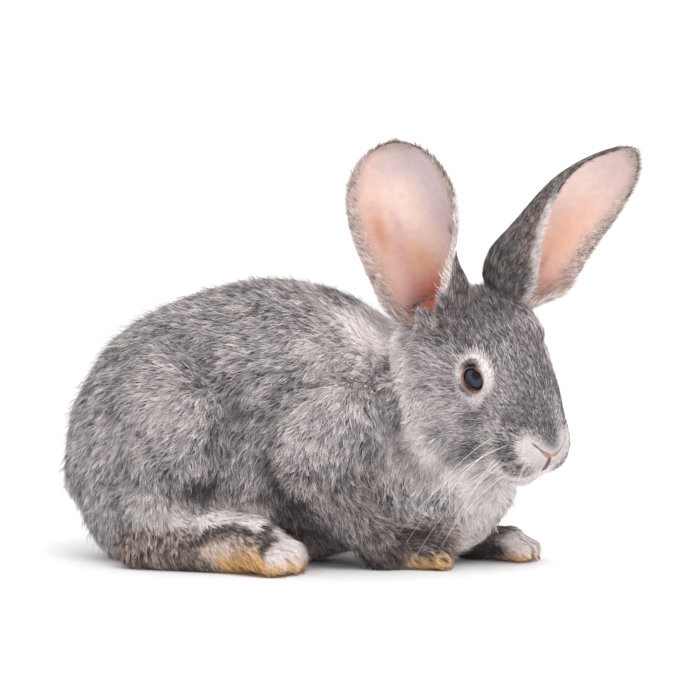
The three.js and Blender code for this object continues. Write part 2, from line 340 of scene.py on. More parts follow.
# A place on the body (x, y, z), the way the hair lies there (x, y, z), and its length. In the side
# lists y is outwards, and a row holds for both sides.
BODY_LIE = [
    (-60, 0, 168, -1, 0, -0.1, 10.6), (20, 0, 160, -1, 0, -0.1, 9.9),
    (-120, 0, 135, -1, 0, -0.7, 10.6), (-152, 0, 80, -0.3, 0, -1, 11.4),
    (-140, 0, 25, -0.2, 0, -1, 10.6), (55, 0, 150, -1, 0, -0.2, 8.4),
    (105, -8, 75, -0.1, 0, -1, 9.9), (112, -4, 45, 0.1, 0, -1, 10.6), (60, 0, 4, -1, 0, 0, 8.4),
    (-40, 0, 3, -1, 0, 0, 8.4), (62, -50, 122, -0.75, -0.1, -0.65, 8.4),
    (60, -52, 92, -0.55, 0, -0.85, 9.1), (76, -50, 64, -0.4, 0, -0.95, 9.1),
    (25, -55, 35, 0.4, 0, -0.9, 10), (40, -44, 38, 0.3, 0, -0.95, 11),
    (50, -44, 20, 0.6, 0, -0.8, 7), (68, -30, 20, 1, 0.1, -0.15, 3.5),
    (84, -27, 8, 0.9, 0.1, -0.6, 3), (55, 44, 35, 0.5, -0.1, -0.85, 9),
    (90, 24, 22, 0.9, -0.1, -0.3, 5), (114, 20, 20, 1, 0, -0.15, 3.5),
    (130, 18, 8, 0.9, 0, -0.6, 3),
]
SIDE_LIE = [
    (-40, 50, 135, -1, 0.1, -0.45, 10.6), (-10, 57, 95, -0.85, 0, -0.6, 10.6),
    (-25, 58, 50, -0.25, 0, -1, 11.4), (-25, 55, 20, -0.1, 0, -1, 10.6),
    (-130, 40, 100, -0.75, 0.2, -0.75, 10.6), (-135, 35, 45, -0.3, 0.1, -1, 10.6),
    (-80, 68, 115, -0.9, 0, -0.5, 9.9), (-80, 72, 80, -0.75, 0, -0.7, 9.9),
    (-45, 68, 80, -0.5, 0, -0.9, 10.6), (-55, 68, 50, 0.1, 0, -1, 7),
    (-95, 68, 45, -0.4, 0, -0.9, 8.4), (-80, 70, 26, 0.1, 0, -1, 7),
    (15, 48, 135, -0.8, 0, -0.6, 9.9), (25, 60, 95, -0.45, 0, -0.9, 9.9),
    (-10, 66, 75, -0.6, 0, -0.8, 9.9), (30, 55, 60, 0, 0, -1, 9.1),
    (80, 36, 50, -0.2, 0.2, -1, 9.9), (-70, 58, 30, 1, 0, -0.1, 4.5),
    (-30, 64, 30, 1, 0.1, -0.1, 4.5), (0, 71, 14, 0.9, 0, -0.6, 4.2),
    (-105, 54, 12, -0.2, 0, -1, 6), (-60, 72, 8, 0.5, 0, -0.8, 3.5),
]
HEAD_LIE = [
    (52, 0, -24, -0.3, 0, 0.9, 1.5), (42, 0, -6, -1, 0, 0.4, 2.4), (20, 0, 12, -1, 0, 0.3, 3.6),
    (-5, 0, 26, -1, 0, 0.3, 4.5), (-35, 0, 27, -1, 0, 0, 6), (-62, 0, 15, -1, 0, -0.4, 9),
    (35, 0, -58, -0.9, 0, -0.5, 6.5), (10, 0, -66, -0.8, 0, -0.6, 10),
]
HEAD_SIDE_LIE = [
    (10, 22, 10, -1, 0.1, 0.4, 3.6), (-12, 26, 17, -1, 0, 0.6, 4.5),
    (-26, 32, 0, -0.8, 0.5, 0, 5), (32, 16, -10, -0.9, 0.2, 0.35, 2.6),
    (40, 22, -26, -0.6, 0.7, -0.35, 2.4), (32, 24, -42, -0.5, 0.6, -0.6, 4),
    (50, 8, -38, -0.1, 0.5, -0.9, 2.2), (14, 29, -24, -0.5, 0.7, -0.4, 4.2),
    (-5, 38, -42, -0.5, 0.4, -0.8, 7), (-38, 42, -38, -0.45, 0.1, -0.9, 10),
    (-55, 36, -8, -0.8, 0.2, -0.5, 9), (18, 14, -60, -0.8, 0.3, -0.5, 6),
    (-44, 32, 20, -0.6, 0.2, 0.5, 5),
]


def spread_rows(rows, side_rows, width, outwards=(1,)):
    """The rows, and the side rows laid out right and left, filled up with 0 to the width."""
    laid = list(rows)
    for sign in SIDES.values():
        laid += [[sign * v if i in outwards else v for i, v in enumerate(row)]
                 for row in side_rows]
    return np.array([[*row, *[0] * (width - len(row))] for row in laid], float)


BATCH = 40_000  # points at a time, to spare memory
LIE = [(BODY, spread_rows(BODY_LIE, SIDE_LIE, 7, (1, 4))),
       (HEAD, spread_rows(HEAD_LIE, HEAD_SIDE_LIE, 7, (1, 4)))]
LIE_POINTS = np.concatenate([place.point(rows[:, :3]) for place, rows in LIE])
LIE_VALUES = np.concatenate([np.hstack([unit(place.way(rows[:, 3:6])), rows[:, 6:]])
                             for place, rows in LIE])


def nearby(points, anchors, values, soft=7.0, power=2.5):
    """Values of the anchors at the points, the near ones counting most."""
    out = np.empty((len(points), values.shape[1]))
    for start in range(0, len(points), BATCH):
        own = slice(start, start + BATCH)
        apart = ((points[own, None] - anchors[None]) ** 2).sum(2) + soft**2
        share = apart**-power
        out[own] = share @ values / share.sum(1, keepdims=True)
    return out


def coat_at(points):
    """Lie and length of the hair at points on the skin."""
    got = nearby(points, LIE_POINTS, LIE_VALUES)
    return got[:, :3], got[:, 3]


# ---------------------------------------------------------------- form of the ears

WIDEST = 0.58  # where the ear is widest, from root to tip
SHEET_SHARE = 0.55  # of the CAD's thickness; hair takes up the rest
EARS = {  # tip, the way it points, which way the cup opens at root and tip, and its bow
    "right": ((56.5, -54, 249), (-32, -20, 110), (-0.8, -0.6, 0), (-0.1, -1, 0.1), (-11, 2, 0)),
    "left": ((190.5, 5, 245), (78, 13, 91), (0.82, -0.57, 0), (0.95, -0.29, -0.15), (-20, 0, 6)),
}
ROLLED = {"right": 0, "left": 0.45}  # how far an ear's left rim turns in, in radians


class Ear:
    """A sheet rolled to a tube at the root and opening to a cup, as the CAD has it."""

    def __init__(self, side):
        tip, way, root_opening, tip_opening, bow = EARS[side]
        self.tip = BODY.point(tip)
        self.root = self.tip - EAR_LENGTH * unit(way)
        self.middle = (self.root + self.tip) / 2 + np.array(bow, float)
        self.openings = np.array([root_opening, tip_opening], float)
        self.rolled = ROLLED[side]

    def line(self, u):
        """Points of the bowed line from the root to the tip."""
        return (1 - u) ** 2 * self.root + 2 * u * (1 - u) * self.middle + u**2 * self.tip

    def at(self, t, across, inner):
        """Points of the sheet: t from root to tip, across from rim to rim, on one of its faces."""
        t, across = np.broadcast_arrays(np.asarray(t, float), np.asarray(across, float))
        u = t[..., None]
        along = unit(2 * (1 - u) * (self.middle - self.root) + 2 * u * (self.tip - self.middle))
        opening = self.openings[0] * (1 - u) + self.openings[1] * u
        lateral = unit(np.cross(along, opening))
        facing = unit(np.cross(lateral, along))
        above = np.maximum(t - WIDEST, 0) / (1 - WIDEST)
        below = np.maximum(WIDEST - t, 0) / WIDEST
        width = EAR_WIDTH / 2 * np.sqrt(np.maximum(1 - above**2, 0.003)) * (1 - 0.7 * below**2)
        curl = 0.65 + 2 * fade(t, -0.1, 0.75) ** 1.4
        radius = width / np.sin(np.minimum(curl, math.pi / 2))
        rim = np.sqrt(np.maximum(1 - across**4, 0))
        thick = EAR_THICK * (1 - 0.4 * t) * (0.45 + 0.55 * rim) * SHEET_SHARE
        r = radius + np.where(inner, -thick, thick) / 2
        ridges = np.cos(across * 7) * np.exp(-((t - 0.35) ** 2) * 9) * 0.5
        r = r + np.where(inner, ridges, 0) * rim
        angle = across * curl - self.rolled * smoothstep(-across, 0, 1) * (
            1 - 0.75 * smoothstep(t, 0.55, 0.85))
        lift = radius * (1 + np.cos(curl)) / 2 - r * np.cos(angle)
        return self.line(u) + lateral * (r * np.sin(angle))[..., None] + facing * lift[..., None]

    def mouth(self):
        """The hollow of the cup inside the head and the way into it."""
        inside = self.line(np.array([[0.2], [0.36]]))
        before = inside + unit(self.openings.mean(0)) * [[12], [15]]
        return blended(3, limb(Place(), *inside, 13.5, 20), limb(Place(), *before, 9, 12))

    def faces_of(self, t, across, inner):
        """Normals of the sheet's face, the way to the tip and the way to the right rim."""
        step = 0.004
        to_tip = unit(self.at(t + step, across, inner) - self.at(t - step, across, inner))
        to_rim = unit(self.at(t, across + step, inner) - self.at(t, across - step, inner))
        normal = unit(np.cross(to_rim, to_tip))
        return np.where(np.asarray(inner)[..., None], normal, -normal), to_tip, to_rim


EAR_FORMS = {side: Ear(side) for side in SIDES}

# ---------------------------------------------------------------- skin

COAT_DEPTH = 0.42  # of the hair's length, as it lies
LID_LONG, LID_HIGH = 7.4, 7.5  # half the opening between the lids
LID_UP = 0.4  # its middle above the eye's
NOSTRIL_LINES = {side: ([54.6, sign * 2.5, -22], [48.8, sign * 12.6, -14.8])
                 for side, sign in SIDES.items()}
NOSTRIL_BRIDGE = ([54.9, -2.5, -22.3], [54.9, 2.5, -22.3])
LIP_LINE = ([54.8, -1.4, -23.5], [52.4, 0.4, -35.5])
SOCKET_GAP, LID_RISE = 0.6, 1.5  # round the eye: the socket's wall, and the swell of the lids
PROBE = 0.4  # how far apart the skin's field is read for its slope
LONGEST_MOVE = 6
SKIN_GAP, HAIR_GAP, WHISKER_GAP = 0.25, 0.35, 2  # least heights above the floor


def eye_places():
    """Each eye's own frame: x forwards along the lids, y outwards, z up."""
    places = {}
    for side, sign in SIDES.items():
        rotation = HEAD.rotation @ turn(-sign * 21)
        if sign < 0:
            rotation = rotation @ np.diag([1, -1, 1])
        places[side] = Place(HEAD.point([0, sign * EYE_APART, 0]), rotation)
    return places


EYES = eye_places()


def face_hollows():
    hollows = []
    for side, sign in SIDES.items():
        hollows.append(mass(EYES[side], [0, 0, 0], [EYE_RADIUS + SOCKET_GAP] * 3))
        hollows.append(mass(EYES[side], [0, 9, LID_UP], [LID_LONG, 9, LID_HIGH]))
        hollows.append(limb(HEAD, *NOSTRIL_LINES[side], 1.1, 0.3))
    hollows.append(limb(HEAD, *NOSTRIL_BRIDGE, 0.9, 0.9))
    hollows.append(limb(HEAD, *LIP_LINE, 0.7, 1.2))
    hollows += [form.mouth() for form in EAR_FORMS.values()]
    return hollows


FACE_HOLLOWS = face_hollows()
LID_SWELL = [mass(EYES[side], [0, 0, 0], [EYE_RADIUS + LID_RISE] * 3) for side in SIDES]


def skin_field(p):
    coat = coat_at(p)[1] * COAT_DEPTH
    covered = flesh(p) + coat + folded(p, 0)
    with_lids = blended(5, lambda q: covered, *LID_SWELL)
    return carved(with_lids, 1.2, *FACE_HOLLOWS)(p)


def settle(points, steps):
    """Moves points on to the skin."""
    corners = np.array([[1, 1, 1], [1, -1, -1], [-1, 1, -1], [-1, -1, 1]])
    for _ in range(steps):
        values = [skin_field(points + PROBE * corner) for corner in corners]
        slope = sum(v[:, None] * c for v, c in zip(values, corners)) / (4 * PROBE)
        level = sum(values) / 4
        steep = np.maximum((slope**2).sum(1, keepdims=True), 0.2)
        move = -level[:, None] * slope / steep
        reach = np.linalg.norm(move, axis=1, keepdims=True)
        points = points + move * np.minimum(1, LONGEST_MOVE / np.maximum(reach, 1e-9))
    return points


def fetched(items, what, width, kind):
    flat = np.empty(len(items) * width, kind)
    items.foreach_get(what, flat)
    return flat.reshape(-1, width)


def coordinates(mesh):
    return fetched(mesh.vertices, "co", 3, np.float32).astype(float)


def edges_of(mesh):
    return fetched(mesh.edges, "vertices", 2, np.int32)


def move_to(mesh, points):
    mesh.vertices.foreach_set("co", points.astype(np.float32).ravel())
    mesh.update()


def add_object(name, data):
    piece = bpy.data.objects.new(name, data)
    bpy.context.scene.collection.objects.link(piece)
    return piece


def mesh_of(name, points, faces):
    mesh = bpy.data.meshes.new(name)
    mesh.from_pydata((np.asarray(points) * MM).tolist(), [], [list(f) for f in faces])
    mesh.update()
    return mesh


def ring_faces(rows, steps, order=(0, 1, 2, 3), closed=False):
    """Faces between rings of points, their corners in the given order."""
    faces = []
    for i in range(rows if closed else rows - 1):
        onwards = steps if i < rows - 1 else -i * steps
        for j in range(steps):
            a, b = i * steps + j, i * steps + (j + 1) % steps
            corners = (a, b, b + onwards, a + onwards)
            faces.append(tuple(corners[k] for k in order))
    return faces


def applied(piece):
    """The piece's mesh with its modifiers applied."""
    depsgraph = bpy.context.evaluated_depsgraph_get()
    mesh = bpy.data.meshes.new_from_object(piece.evaluated_get(depsgraph))
    piece.modifiers.clear()
    piece.data = mesh
    return mesh


def relax(points, edges, times):
    """Evens out the spacing of a mesh's points."""
    count = np.maximum(np.bincount(edges.ravel(), minlength=len(points)), 1)[:, None]
    for _ in range(times):
        total = np.zeros_like(points)
        for axis in range(3):
            for a, b in ((0, 1), (1, 0)):
                total[:, axis] += np.bincount(edges[:, a], points[edges[:, b], axis],
                                              minlength=len(points))
        points = points + 0.5 * (total / count - points)
    return points


FLESH_NODES = [n for n in sorted(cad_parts) if not n.startswith(("eye", "ear"))]
SKIN_VOXEL = 1.7
GROWTH = 0.6  # closes the gaps between the nodes


def grown_flesh():
    """Copies of the flesh nodes, each a little larger, so that they close up into one body."""
    all_points, all_faces, start = [], [], 0
    for node in FLESH_NODES:
        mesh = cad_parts[node].data
        bm = bmesh.new()
        bm.from_mesh(mesh)
        bmesh.ops.remove_doubles(bm, verts=bm.verts, dist=1e-6)
        bm.normal_update()
        points = [np.array(v.co + v.normal * GROWTH * MM) / MM for v in bm.verts]
        all_points.extend(points)
        all_faces.extend([[v.index + start for v in f.verts] for f in bm.faces])
        start += len(points)
        bm.free()
    return mesh_of("flesh", all_points, all_faces)


def keep_largest(mesh):
    """Deletes every island of the mesh but the one with the most points."""
    bm = bmesh.new()
    bm.from_mesh(mesh)
    bm.verts.ensure_lookup_table()
    seen = np.zeros(len(bm.verts), bool)
    islands = []
    for v in bm.verts:
        if seen[v.index]:
            continue
        seen[v.index] = True
        island, edge = [v], [v]
        while edge:
            for e in edge.pop().link_edges:
                for w in e.verts:
                    if not seen[w.index]:
                        seen[w.index] = True
                        island.append(w)
                        edge.append(w)
        islands.append(island)
    islands.sort(key=len)
    for island in islands[:-1]:
        bmesh.ops.delete(bm, geom=island, context="VERTS")
    bm.to_mesh(mesh)
    bm.free()


def finer(mesh, regions):
    """Splits the faces inside the regions: (world point, radius) pairs."""
    bm = bmesh.new()
    bm.from_mesh(mesh)
    for point, radius in regions:
        centre = Vector(point * MM)
        near = [f for f in bm.faces if (f.calc_center_median() - centre).length < radius * MM]
        edges = list({e for f in near for e in f.edges})
        bmesh.ops.subdivide_edges(bm, edges=edges, cuts=1, use_grid_fill=True)
    bmesh.ops.triangulate(bm, faces=[f for f in bm.faces if len(f.verts) > 4])
    bm.to_mesh(mesh)
    bm.free()


def face_regions(muzzle_reach, eye_reach):
    muzzle = HEAD.point([44, 0, -27])
    return [(muzzle, muzzle_reach), *((EYES[side].point([0, 8, 2]), eye_reach) for side in SIDES)]


def make_skin():
    piece = add_object("skin", grown_flesh())
    remesh = piece.modifiers.new("even", "REMESH")
    remesh.mode = "VOXEL"
    remesh.voxel_size = SKIN_VOXEL * MM
    mesh = applied(piece)
    keep_largest(mesh)
    points, edges = coordinates(mesh) / MM, edges_of(mesh)
    for times, steps in ((6, 3), (4, 2)):
        points = settle(relax(points, edges, times), steps)
    move_to(mesh, points * MM)
    for reaches in ((25, 15), (19, 13)):
        finer(mesh, face_regions(*reaches))
    points, edges = coordinates(mesh) / MM, edges_of(mesh)
    near = np.min([np.linalg.norm(points - centre, axis=1) - reach
                   for centre, reach in face_regions(30, 18)], axis=0) < 0
    for times in (3, 1):
        points[near] = settle(relax(points, edges, times)[near], 3)
    points[:, 2] = np.maximum(points[:, 2], SKIN_GAP)
    move_to(mesh, points * MM)
    return piece


skin = make_skin()

# ---------------------------------------------------------------- ears

EAR_ROWS, EAR_COLUMNS = ((110, 56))
SAME, SEAM = 0.02, 2.5  # points this close are one; how far the seam round an ear is eased


def ear_mesh(side):
    """One closed sheet, and where each of its points lies on it."""
    form = EAR_FORMS[side]
    share = np.arange(EAR_ROWS + 1) / EAR_ROWS
    t = (share + np.sin(share * math.pi / 2)) / 2
    ring = 2 * (EAR_COLUMNS + 1)
    step = np.arange(ring)
    inner = step > EAR_COLUMNS
    across = np.where(inner, ring - 1 - step, step) / EAR_COLUMNS * 2 - 1
    across = np.sin(across * math.pi / 2) * 0.35 + across * 0.65
    grid_t, grid_across = np.meshgrid(t, across, indexing="ij")
    grid_inner = np.broadcast_to(inner, grid_t.shape)
    points = form.at(grid_t, grid_across, grid_inner).reshape(-1, 3)
    faces = ring_faces(EAR_ROWS + 1, ring, (0, 3, 2, 1))
    for i in range(EAR_COLUMNS):
        a, b, c, d = i, i + 1, ring - 2 - i, ring - 1 - i
        faces.append((a, b, c, d))
        faces.append(tuple(corner + EAR_ROWS * ring for corner in (a, d, c, b)))
    spots = np.stack([grid_t, grid_across, grid_inner.astype(float)], -1).reshape(-1, 3)
    return mesh_of(f"ear_{side}", points, faces), points, spots


def tree_of(points):
    tree = kdtree.KDTree(len(points))
    for i, p in enumerate(points):
        tree.insert(p, i)
    tree.balance()
    return tree


def closest(points, others):
    """For each point, the nearest of the others and how far it is."""
    tree = tree_of(others)
    found = [tree.find(p)[1:] for p in points]
    return np.array([f[0] for f in found]), np.array([f[1] for f in found])


def take_ears(skin):
    """Joins the ears to the skin. Returns each skin point's place on an ear: side, t, across,
    whether it is on the inner face, and how far it is from the ear in millimetres."""
    sheet_points, sheet_spots = [], []
    old_points = coordinates(skin.data) / MM
    for number, side in enumerate(SIDES):
        mesh, points, spots = ear_mesh(side)
        sheet_points.append(points)
        sheet_spots.append(np.column_stack([np.full(len(points), number), spots]))
        ear = add_object(f"sheet_{side}", mesh)
        union = skin.modifiers.new("join", "BOOLEAN")
        union.operation, union.solver, union.object = "UNION", "MANIFOLD", ear
        applied(skin)
        bpy.data.objects.remove(ear)
    keep_largest(skin.data)
    sheet_points, sheet_spots = np.concatenate(sheet_points), np.concatenate(sheet_spots)
    points = coordinates(skin.data) / MM
    nearest, away = closest(points, sheet_points)
    new = (away > SAME) & (closest(points, old_points)[1] > SAME)
    beside = closest(points, points[new])[1] < SEAM
    eased = relax(points, edges_of(skin.data), 5)
    points[beside] = eased[beside]
    move_to(skin.data, points * MM)
    return np.column_stack([sheet_spots[nearest], away])


spots = take_ears(skin)

# ---------------------------------------------------------------- markings

# A place (x, y, z), how dark the hair is there, how brown and how stained; what isn't given is 0.
# In the side lists y is outwards, and a row holds for both sides.
BODY_TONES = [
    (-60, 0, 168, 0.48), (10, 0, 160, 0.42), (-120, 0, 135, 0.48), (-150, 0, 80, 0.42),
    (-140, 0, 25, 0.33), (41, -11, 146, 0.12), (55, 5, 146, 0.12), (105, -8, 75, 0.13),
    (112, -4, 45, 0.02), (102, -17, 22, 0.12), (60, 0, 4, 0.25), (-40, 0, 3, 0.2),
    (-9, -63, 48, 0.78, 0.1), (31, -57, 31, 0.7, 0.1), (40, -42, 41, 0.62, 0.1),
    (47, -50, 19, 0.8, 0.3), (70, -44, 13, 0.85, 1, 0.1), (87, -40, 7, 0.78, 1, 0.2),
    (55, 44, 35, 0.6, 0.2), (90, 24, 22, 0.5, 0.3), (124, 2, 8, 0.45, 0.3, 0.1),
]
SIDE_TONES = [
    (-3, 35, 152, 0.5), (-40, 31, 157, 0.5), (-61, 43, 140, 0.5), (30, 19, 150, 0.25),
    (21, 32, 146, 0.38), (17, 45, 132, 0.26), (-11, 54, 123, 0.5), (-28, 59, 100, 0.56),
    (-102, 50, 116, 0.48), (-128, 44, 86, 0.42), (-136, 38, 44, 0.42), (-85, 69, 100, 0.43),
    # The row at (-56, 68, 52) is painted shade in the pocket between thigh and belly.
    (-56, 64, 112, 0.4), (-39, 63, 71, 0.52), (-56, 68, 52, 0.66), (-98, 68, 41, 0.5),
    (3, 65, 89, 0.49), (27, 67, 84, 0.5), (32, 60, 107, 0.28), (63, 37, 41, 0.42),
    # The row at (-6, 51, 30) is painted shade in the gap under the belly.
    (75, 35, 59, 0.35), (-6, 51, 30, 0.7, 0.2), (-26, 67, 31, 0.04), (-43, 71, 28, 0.06),
    (-85, 71, 13, 0.55, 0.7, 0.1), (-47, 78, 17, 0.16, 0.2, 0.5), (-60, 75, 8, 0.4, 0.5, 0.4),
    (5, 73, 9, 0.12, 0.1, 0.45),
]
# In both head lists, values below 0, on the chin and under the jaw, are painted light.
HEAD_TONES = [
    (51, 0, -9, 0.85), (42, 0, -1, 0.82), (34, 0, 9, 0.75), (18, 0, 20, 0.76), (-2, 0, 24, 0.75),
    (-21, 0, 23, 0.8), (-35, 0, 24, 0.86), (-62, 0, 15, 0.25), (48, 0, -45, -0.1),
    (35, 0, -58, -0.1), (10, 0, -66, 0),
]
HEAD_SIDE_TONES = [
    (0, 17, 18, 0.74), (-21, 18, 21, 0.85), (42, 9, 0, 0.86), (21, 22, -2, 0.5),
    (34, 17, -6, 0.75), (7, 28, -11, 0.45), (15, 28, -18, 0.6), (28, 25, -18, 0.42),
    (21, 28, -40, 0.66), (39, 22, -42, 0), (45, 21, -24, 0.72), (50, 17, -32, 0.45),
    (49, 15, -21, 0.02), (52, 9, -24, 0.02), (-4, 39, -22, 0.31), (9, 34, -36, 0.4),
    (-17, 48, -23, 0.35), (-41, 46, -11, 0.32), (-12, 35, -5, 0.52), (-32, 37, 3, 0.5),
    (-1, 38, -65, 0.22), (25, 18, -58, -0.05),
]
TONES = [(BODY, spread_rows(BODY_TONES, SIDE_TONES, 6)),
         (HEAD, spread_rows(HEAD_TONES, HEAD_SIDE_TONES, 6))]
TONE_POINTS = np.concatenate([place.point(rows[:, :3]) for place, rows in TONES])
TONE_VALUES = np.concatenate([rows[:, 3:] for _, rows in TONES])

# Small places of another tone: where (x, y, z), how far it reaches, and how dark it is. The dark
# ones low on the near flank, at x from -57 to -20 and z from 41 to 66, and at (8, -52, 22) and
# (-20, -50, 20), are painted shade in the crease between thigh and belly and in the gap under the
# belly. Those below 0 round the nape are paler than its white hair: painted light in the hollow
# behind the near ear.
BODY_SPOTS = [
    (23, -30, 147, 9, 0.12), (31, -28, 144, 10, -0.05), (39, -28, 137, 10, -0.05),
    (45, -18, 138, 13, -0.05), (50, -4, 139, 13, -0.15), (39, -12, 147, 9, -0.1),
    (81, -52, 138, 5, 0.9), (84, -53, 132, 4.5, 0.9), (74, -49, 138, 5, 0.8),
    (88, -51, 149, 6, 0.85), (93, -45, 156, 6, 0.85), (98, -37, 158, 6, 0.85),
    (-57, -68, 51, 7, 1), (-37, -61, 59, 6, 0.75), (-37, -61, 50, 7, 0.9), (-35, -60, 41, 6, 0.8),
    (-48, -64, 44, 4, 0.15), (-78, -69, 49, 9, 0.6), (45, -26, 131, 8, -0.15),
    (51, -17, 137, 9, -0.15), (55, -30, 134, 7, -0.1), (-36, -62, 66, 6, 0.75),
    (-76, -69, 60, 9, 0.6), (-20, -60, 56, 8, 0.66), (8, -52, 22, 13, 1), (-20, -50, 20, 13, 1),
    (44, -34, 128, 9, 0.02), (34, -38, 128, 9, 0.1), (3, -49, 132, 5, 0.2), (1, -57, 108, 5, 0.2),
    (-9, -56, 100, 6, 0.75), (-86, -71, 37, 9, 0.2), (-72, -70, 33, 9, 0.12),
]
# Those below 0, on the chin, jaw and throat, are painted light: paler than the white hair.
HEAD_SPOTS = [  # on both sides
    (41, 21, -43, 5, -0.1), (30, 21, -50, 10, -0.1), (46, 4, -49, 10, -0.1),
    (20, 20, -60, 12, -0.05), (0, 8, -70, 18, 0), (21, 28, -39, 5.5, 0.8), (15, 28, -18, 6, 0.72),
    (-30, 20, 20, 9, 0.8), (-11, 49, -45, 9, 0.05), (-1, 42, -55, 9, -0.1), (9, 31, -62, 7, -0.1),
    (22, 20, -61, 7, -0.1), (47, 14, -42, 6, -0.15), (50.5, 12, -34, 4.5, 0.55),
    (48, 18, -33, 5, 0.6),
]
LEFT_HEAD_SPOTS = [
    (40, 8, 3, 5, 0.5), (47, 7, -4, 5, 0.35), (52, 7, -13, 5, 0.1),
]
# Painted shade: the dark line that parts the top of the hind foot from its pads, and the one in
# the cleft between its toes.
FOOT_ARC = np.array([(-58, 0, 19), (-51, 0, 26), (-36, 0, 27.5), (-22, 0, 24), (-13, 0, 22)], float)
TOE_CLEFT = np.array([(-17.5, 0, 28), (-17, 0, 17)], float)
SPOTS = [(BODY.point(at), radius, dark) for *at, radius, dark in BODY_SPOTS]
SPOTS += [(HEAD.point([x, sign * y, z]), radius, dark) for x, y, z, radius, dark in HEAD_SPOTS
          for sign in SIDES.values()]
SPOTS += [(HEAD.point(at), radius, dark) for *at, radius, dark in LEFT_HEAD_SPOTS]

PALE_HAIR = np.array([0.83, 0.765, 0.755])
DARK_HAIR = np.array([0.056, 0.043, 0.045])
BROWN = np.array([1, 0.82, 0.7])
STAIN = np.array([1, 0.7, 0.32])
# How dark hair is, where 0 is the pale colour and 1 the dark one. Below 0, down to LIGHTEST,
# hair is paler than the pale colour: painted light where white hair lies in shade.
WHITE, LIGHTEST = 0.02, -0.15


def hair_colour(dark, brown, stain):
    tone = (np.clip(dark, LIGHTEST, 1), brown, stain)
    dark, brown, stain = (np.asarray(values)[..., None] for values in tone)
    colour = mixed(PALE_HAIR, DARK_HAIR, dark)
    return colour * (1 - brown + brown * BROWN) * (1 - stain + stain * STAIN)


def ripple(points, size, seed, waves=7):
    """Soft noise of about -1 to 1 that changes over the size given."""
    draw = np.random.default_rng(seed)
    total = 0
    for _ in range(waves):
        way = unit(draw.normal(size=3)) * draw.uniform(0.7, 1.5) * 2 * math.pi / size
        total = total + np.sin(points @ way + draw.uniform(0, 2 * math.pi))
    return total / math.sqrt(waves / 2) / 2


def ring_of(side, points):
    """How many lid openings away from the eye the points are, and their bearing from it."""
    q = EYES[side].local(points)
    long, high = q[:, 0] / LID_LONG, (q[:, 2] - LID_UP) / LID_HIGH
    away = np.where(q[:, 1] > -4, np.hypot(long, high), 9)
    return away, np.degrees(np.arctan2(high, long))


RING_EDGE = [
    (-180, 1.75), (-135, 1.4), (-90, 1.65), (-60, 1.8), (-20, 1.85), (20, 1.85), (60, 1.75),
    (100, 1.85), (140, 1.9), (180, 1.75),
]
NOSTRILS = {side: blended(0.5, limb(HEAD, *NOSTRIL_LINES[side], 1.7, 0.5),
                          limb(HEAD, *NOSTRIL_BRIDGE, 1.2, 1.2)) for side in SIDES}
LIP_CLEFT = limb(HEAD, *LIP_LINE, 0.8, 2.2)
WHISKER_ROOTS = [
    (33, 21, -11), (37.6, 18, -9), (42.4, 14, -7), (35, 23.3, -17.7), (38.2, 20.6, -14.6),
    (41.3, 17.8, -12.3), (34.7, 25.2, -22.6), (38.8, 22.6, -19.5), (42.4, 19.4, -16.8),
    (39, 24.7, -25.3), (42.8, 21.7, -22.5), (42.6, 23.4, -28.7), (46.2, 20.2, -26.1),
    (49.5, 16.3, -30), (30.5, 24.8, -18.5), (44, 20, -33),
]
EAR_EDGE, EAR_JOIN = 0.6, 3.5  # how far from the sheet a point is still on the ear, or beside it
EAR_SKIN = (0.78, 0.52, 0.45)
LID_SKIN = (0.3, 0.15, 0.12)
NOSTRIL_INNER, NOSTRIL_OUTER = np.array([0.5, 0.2, 0.17]), np.array([0.25, 0.12, 0.105])
LIP_SKIN = (0.17, 0.09, 0.085)
EAR_FLOOR = (0.42, 0.1, 0.07)
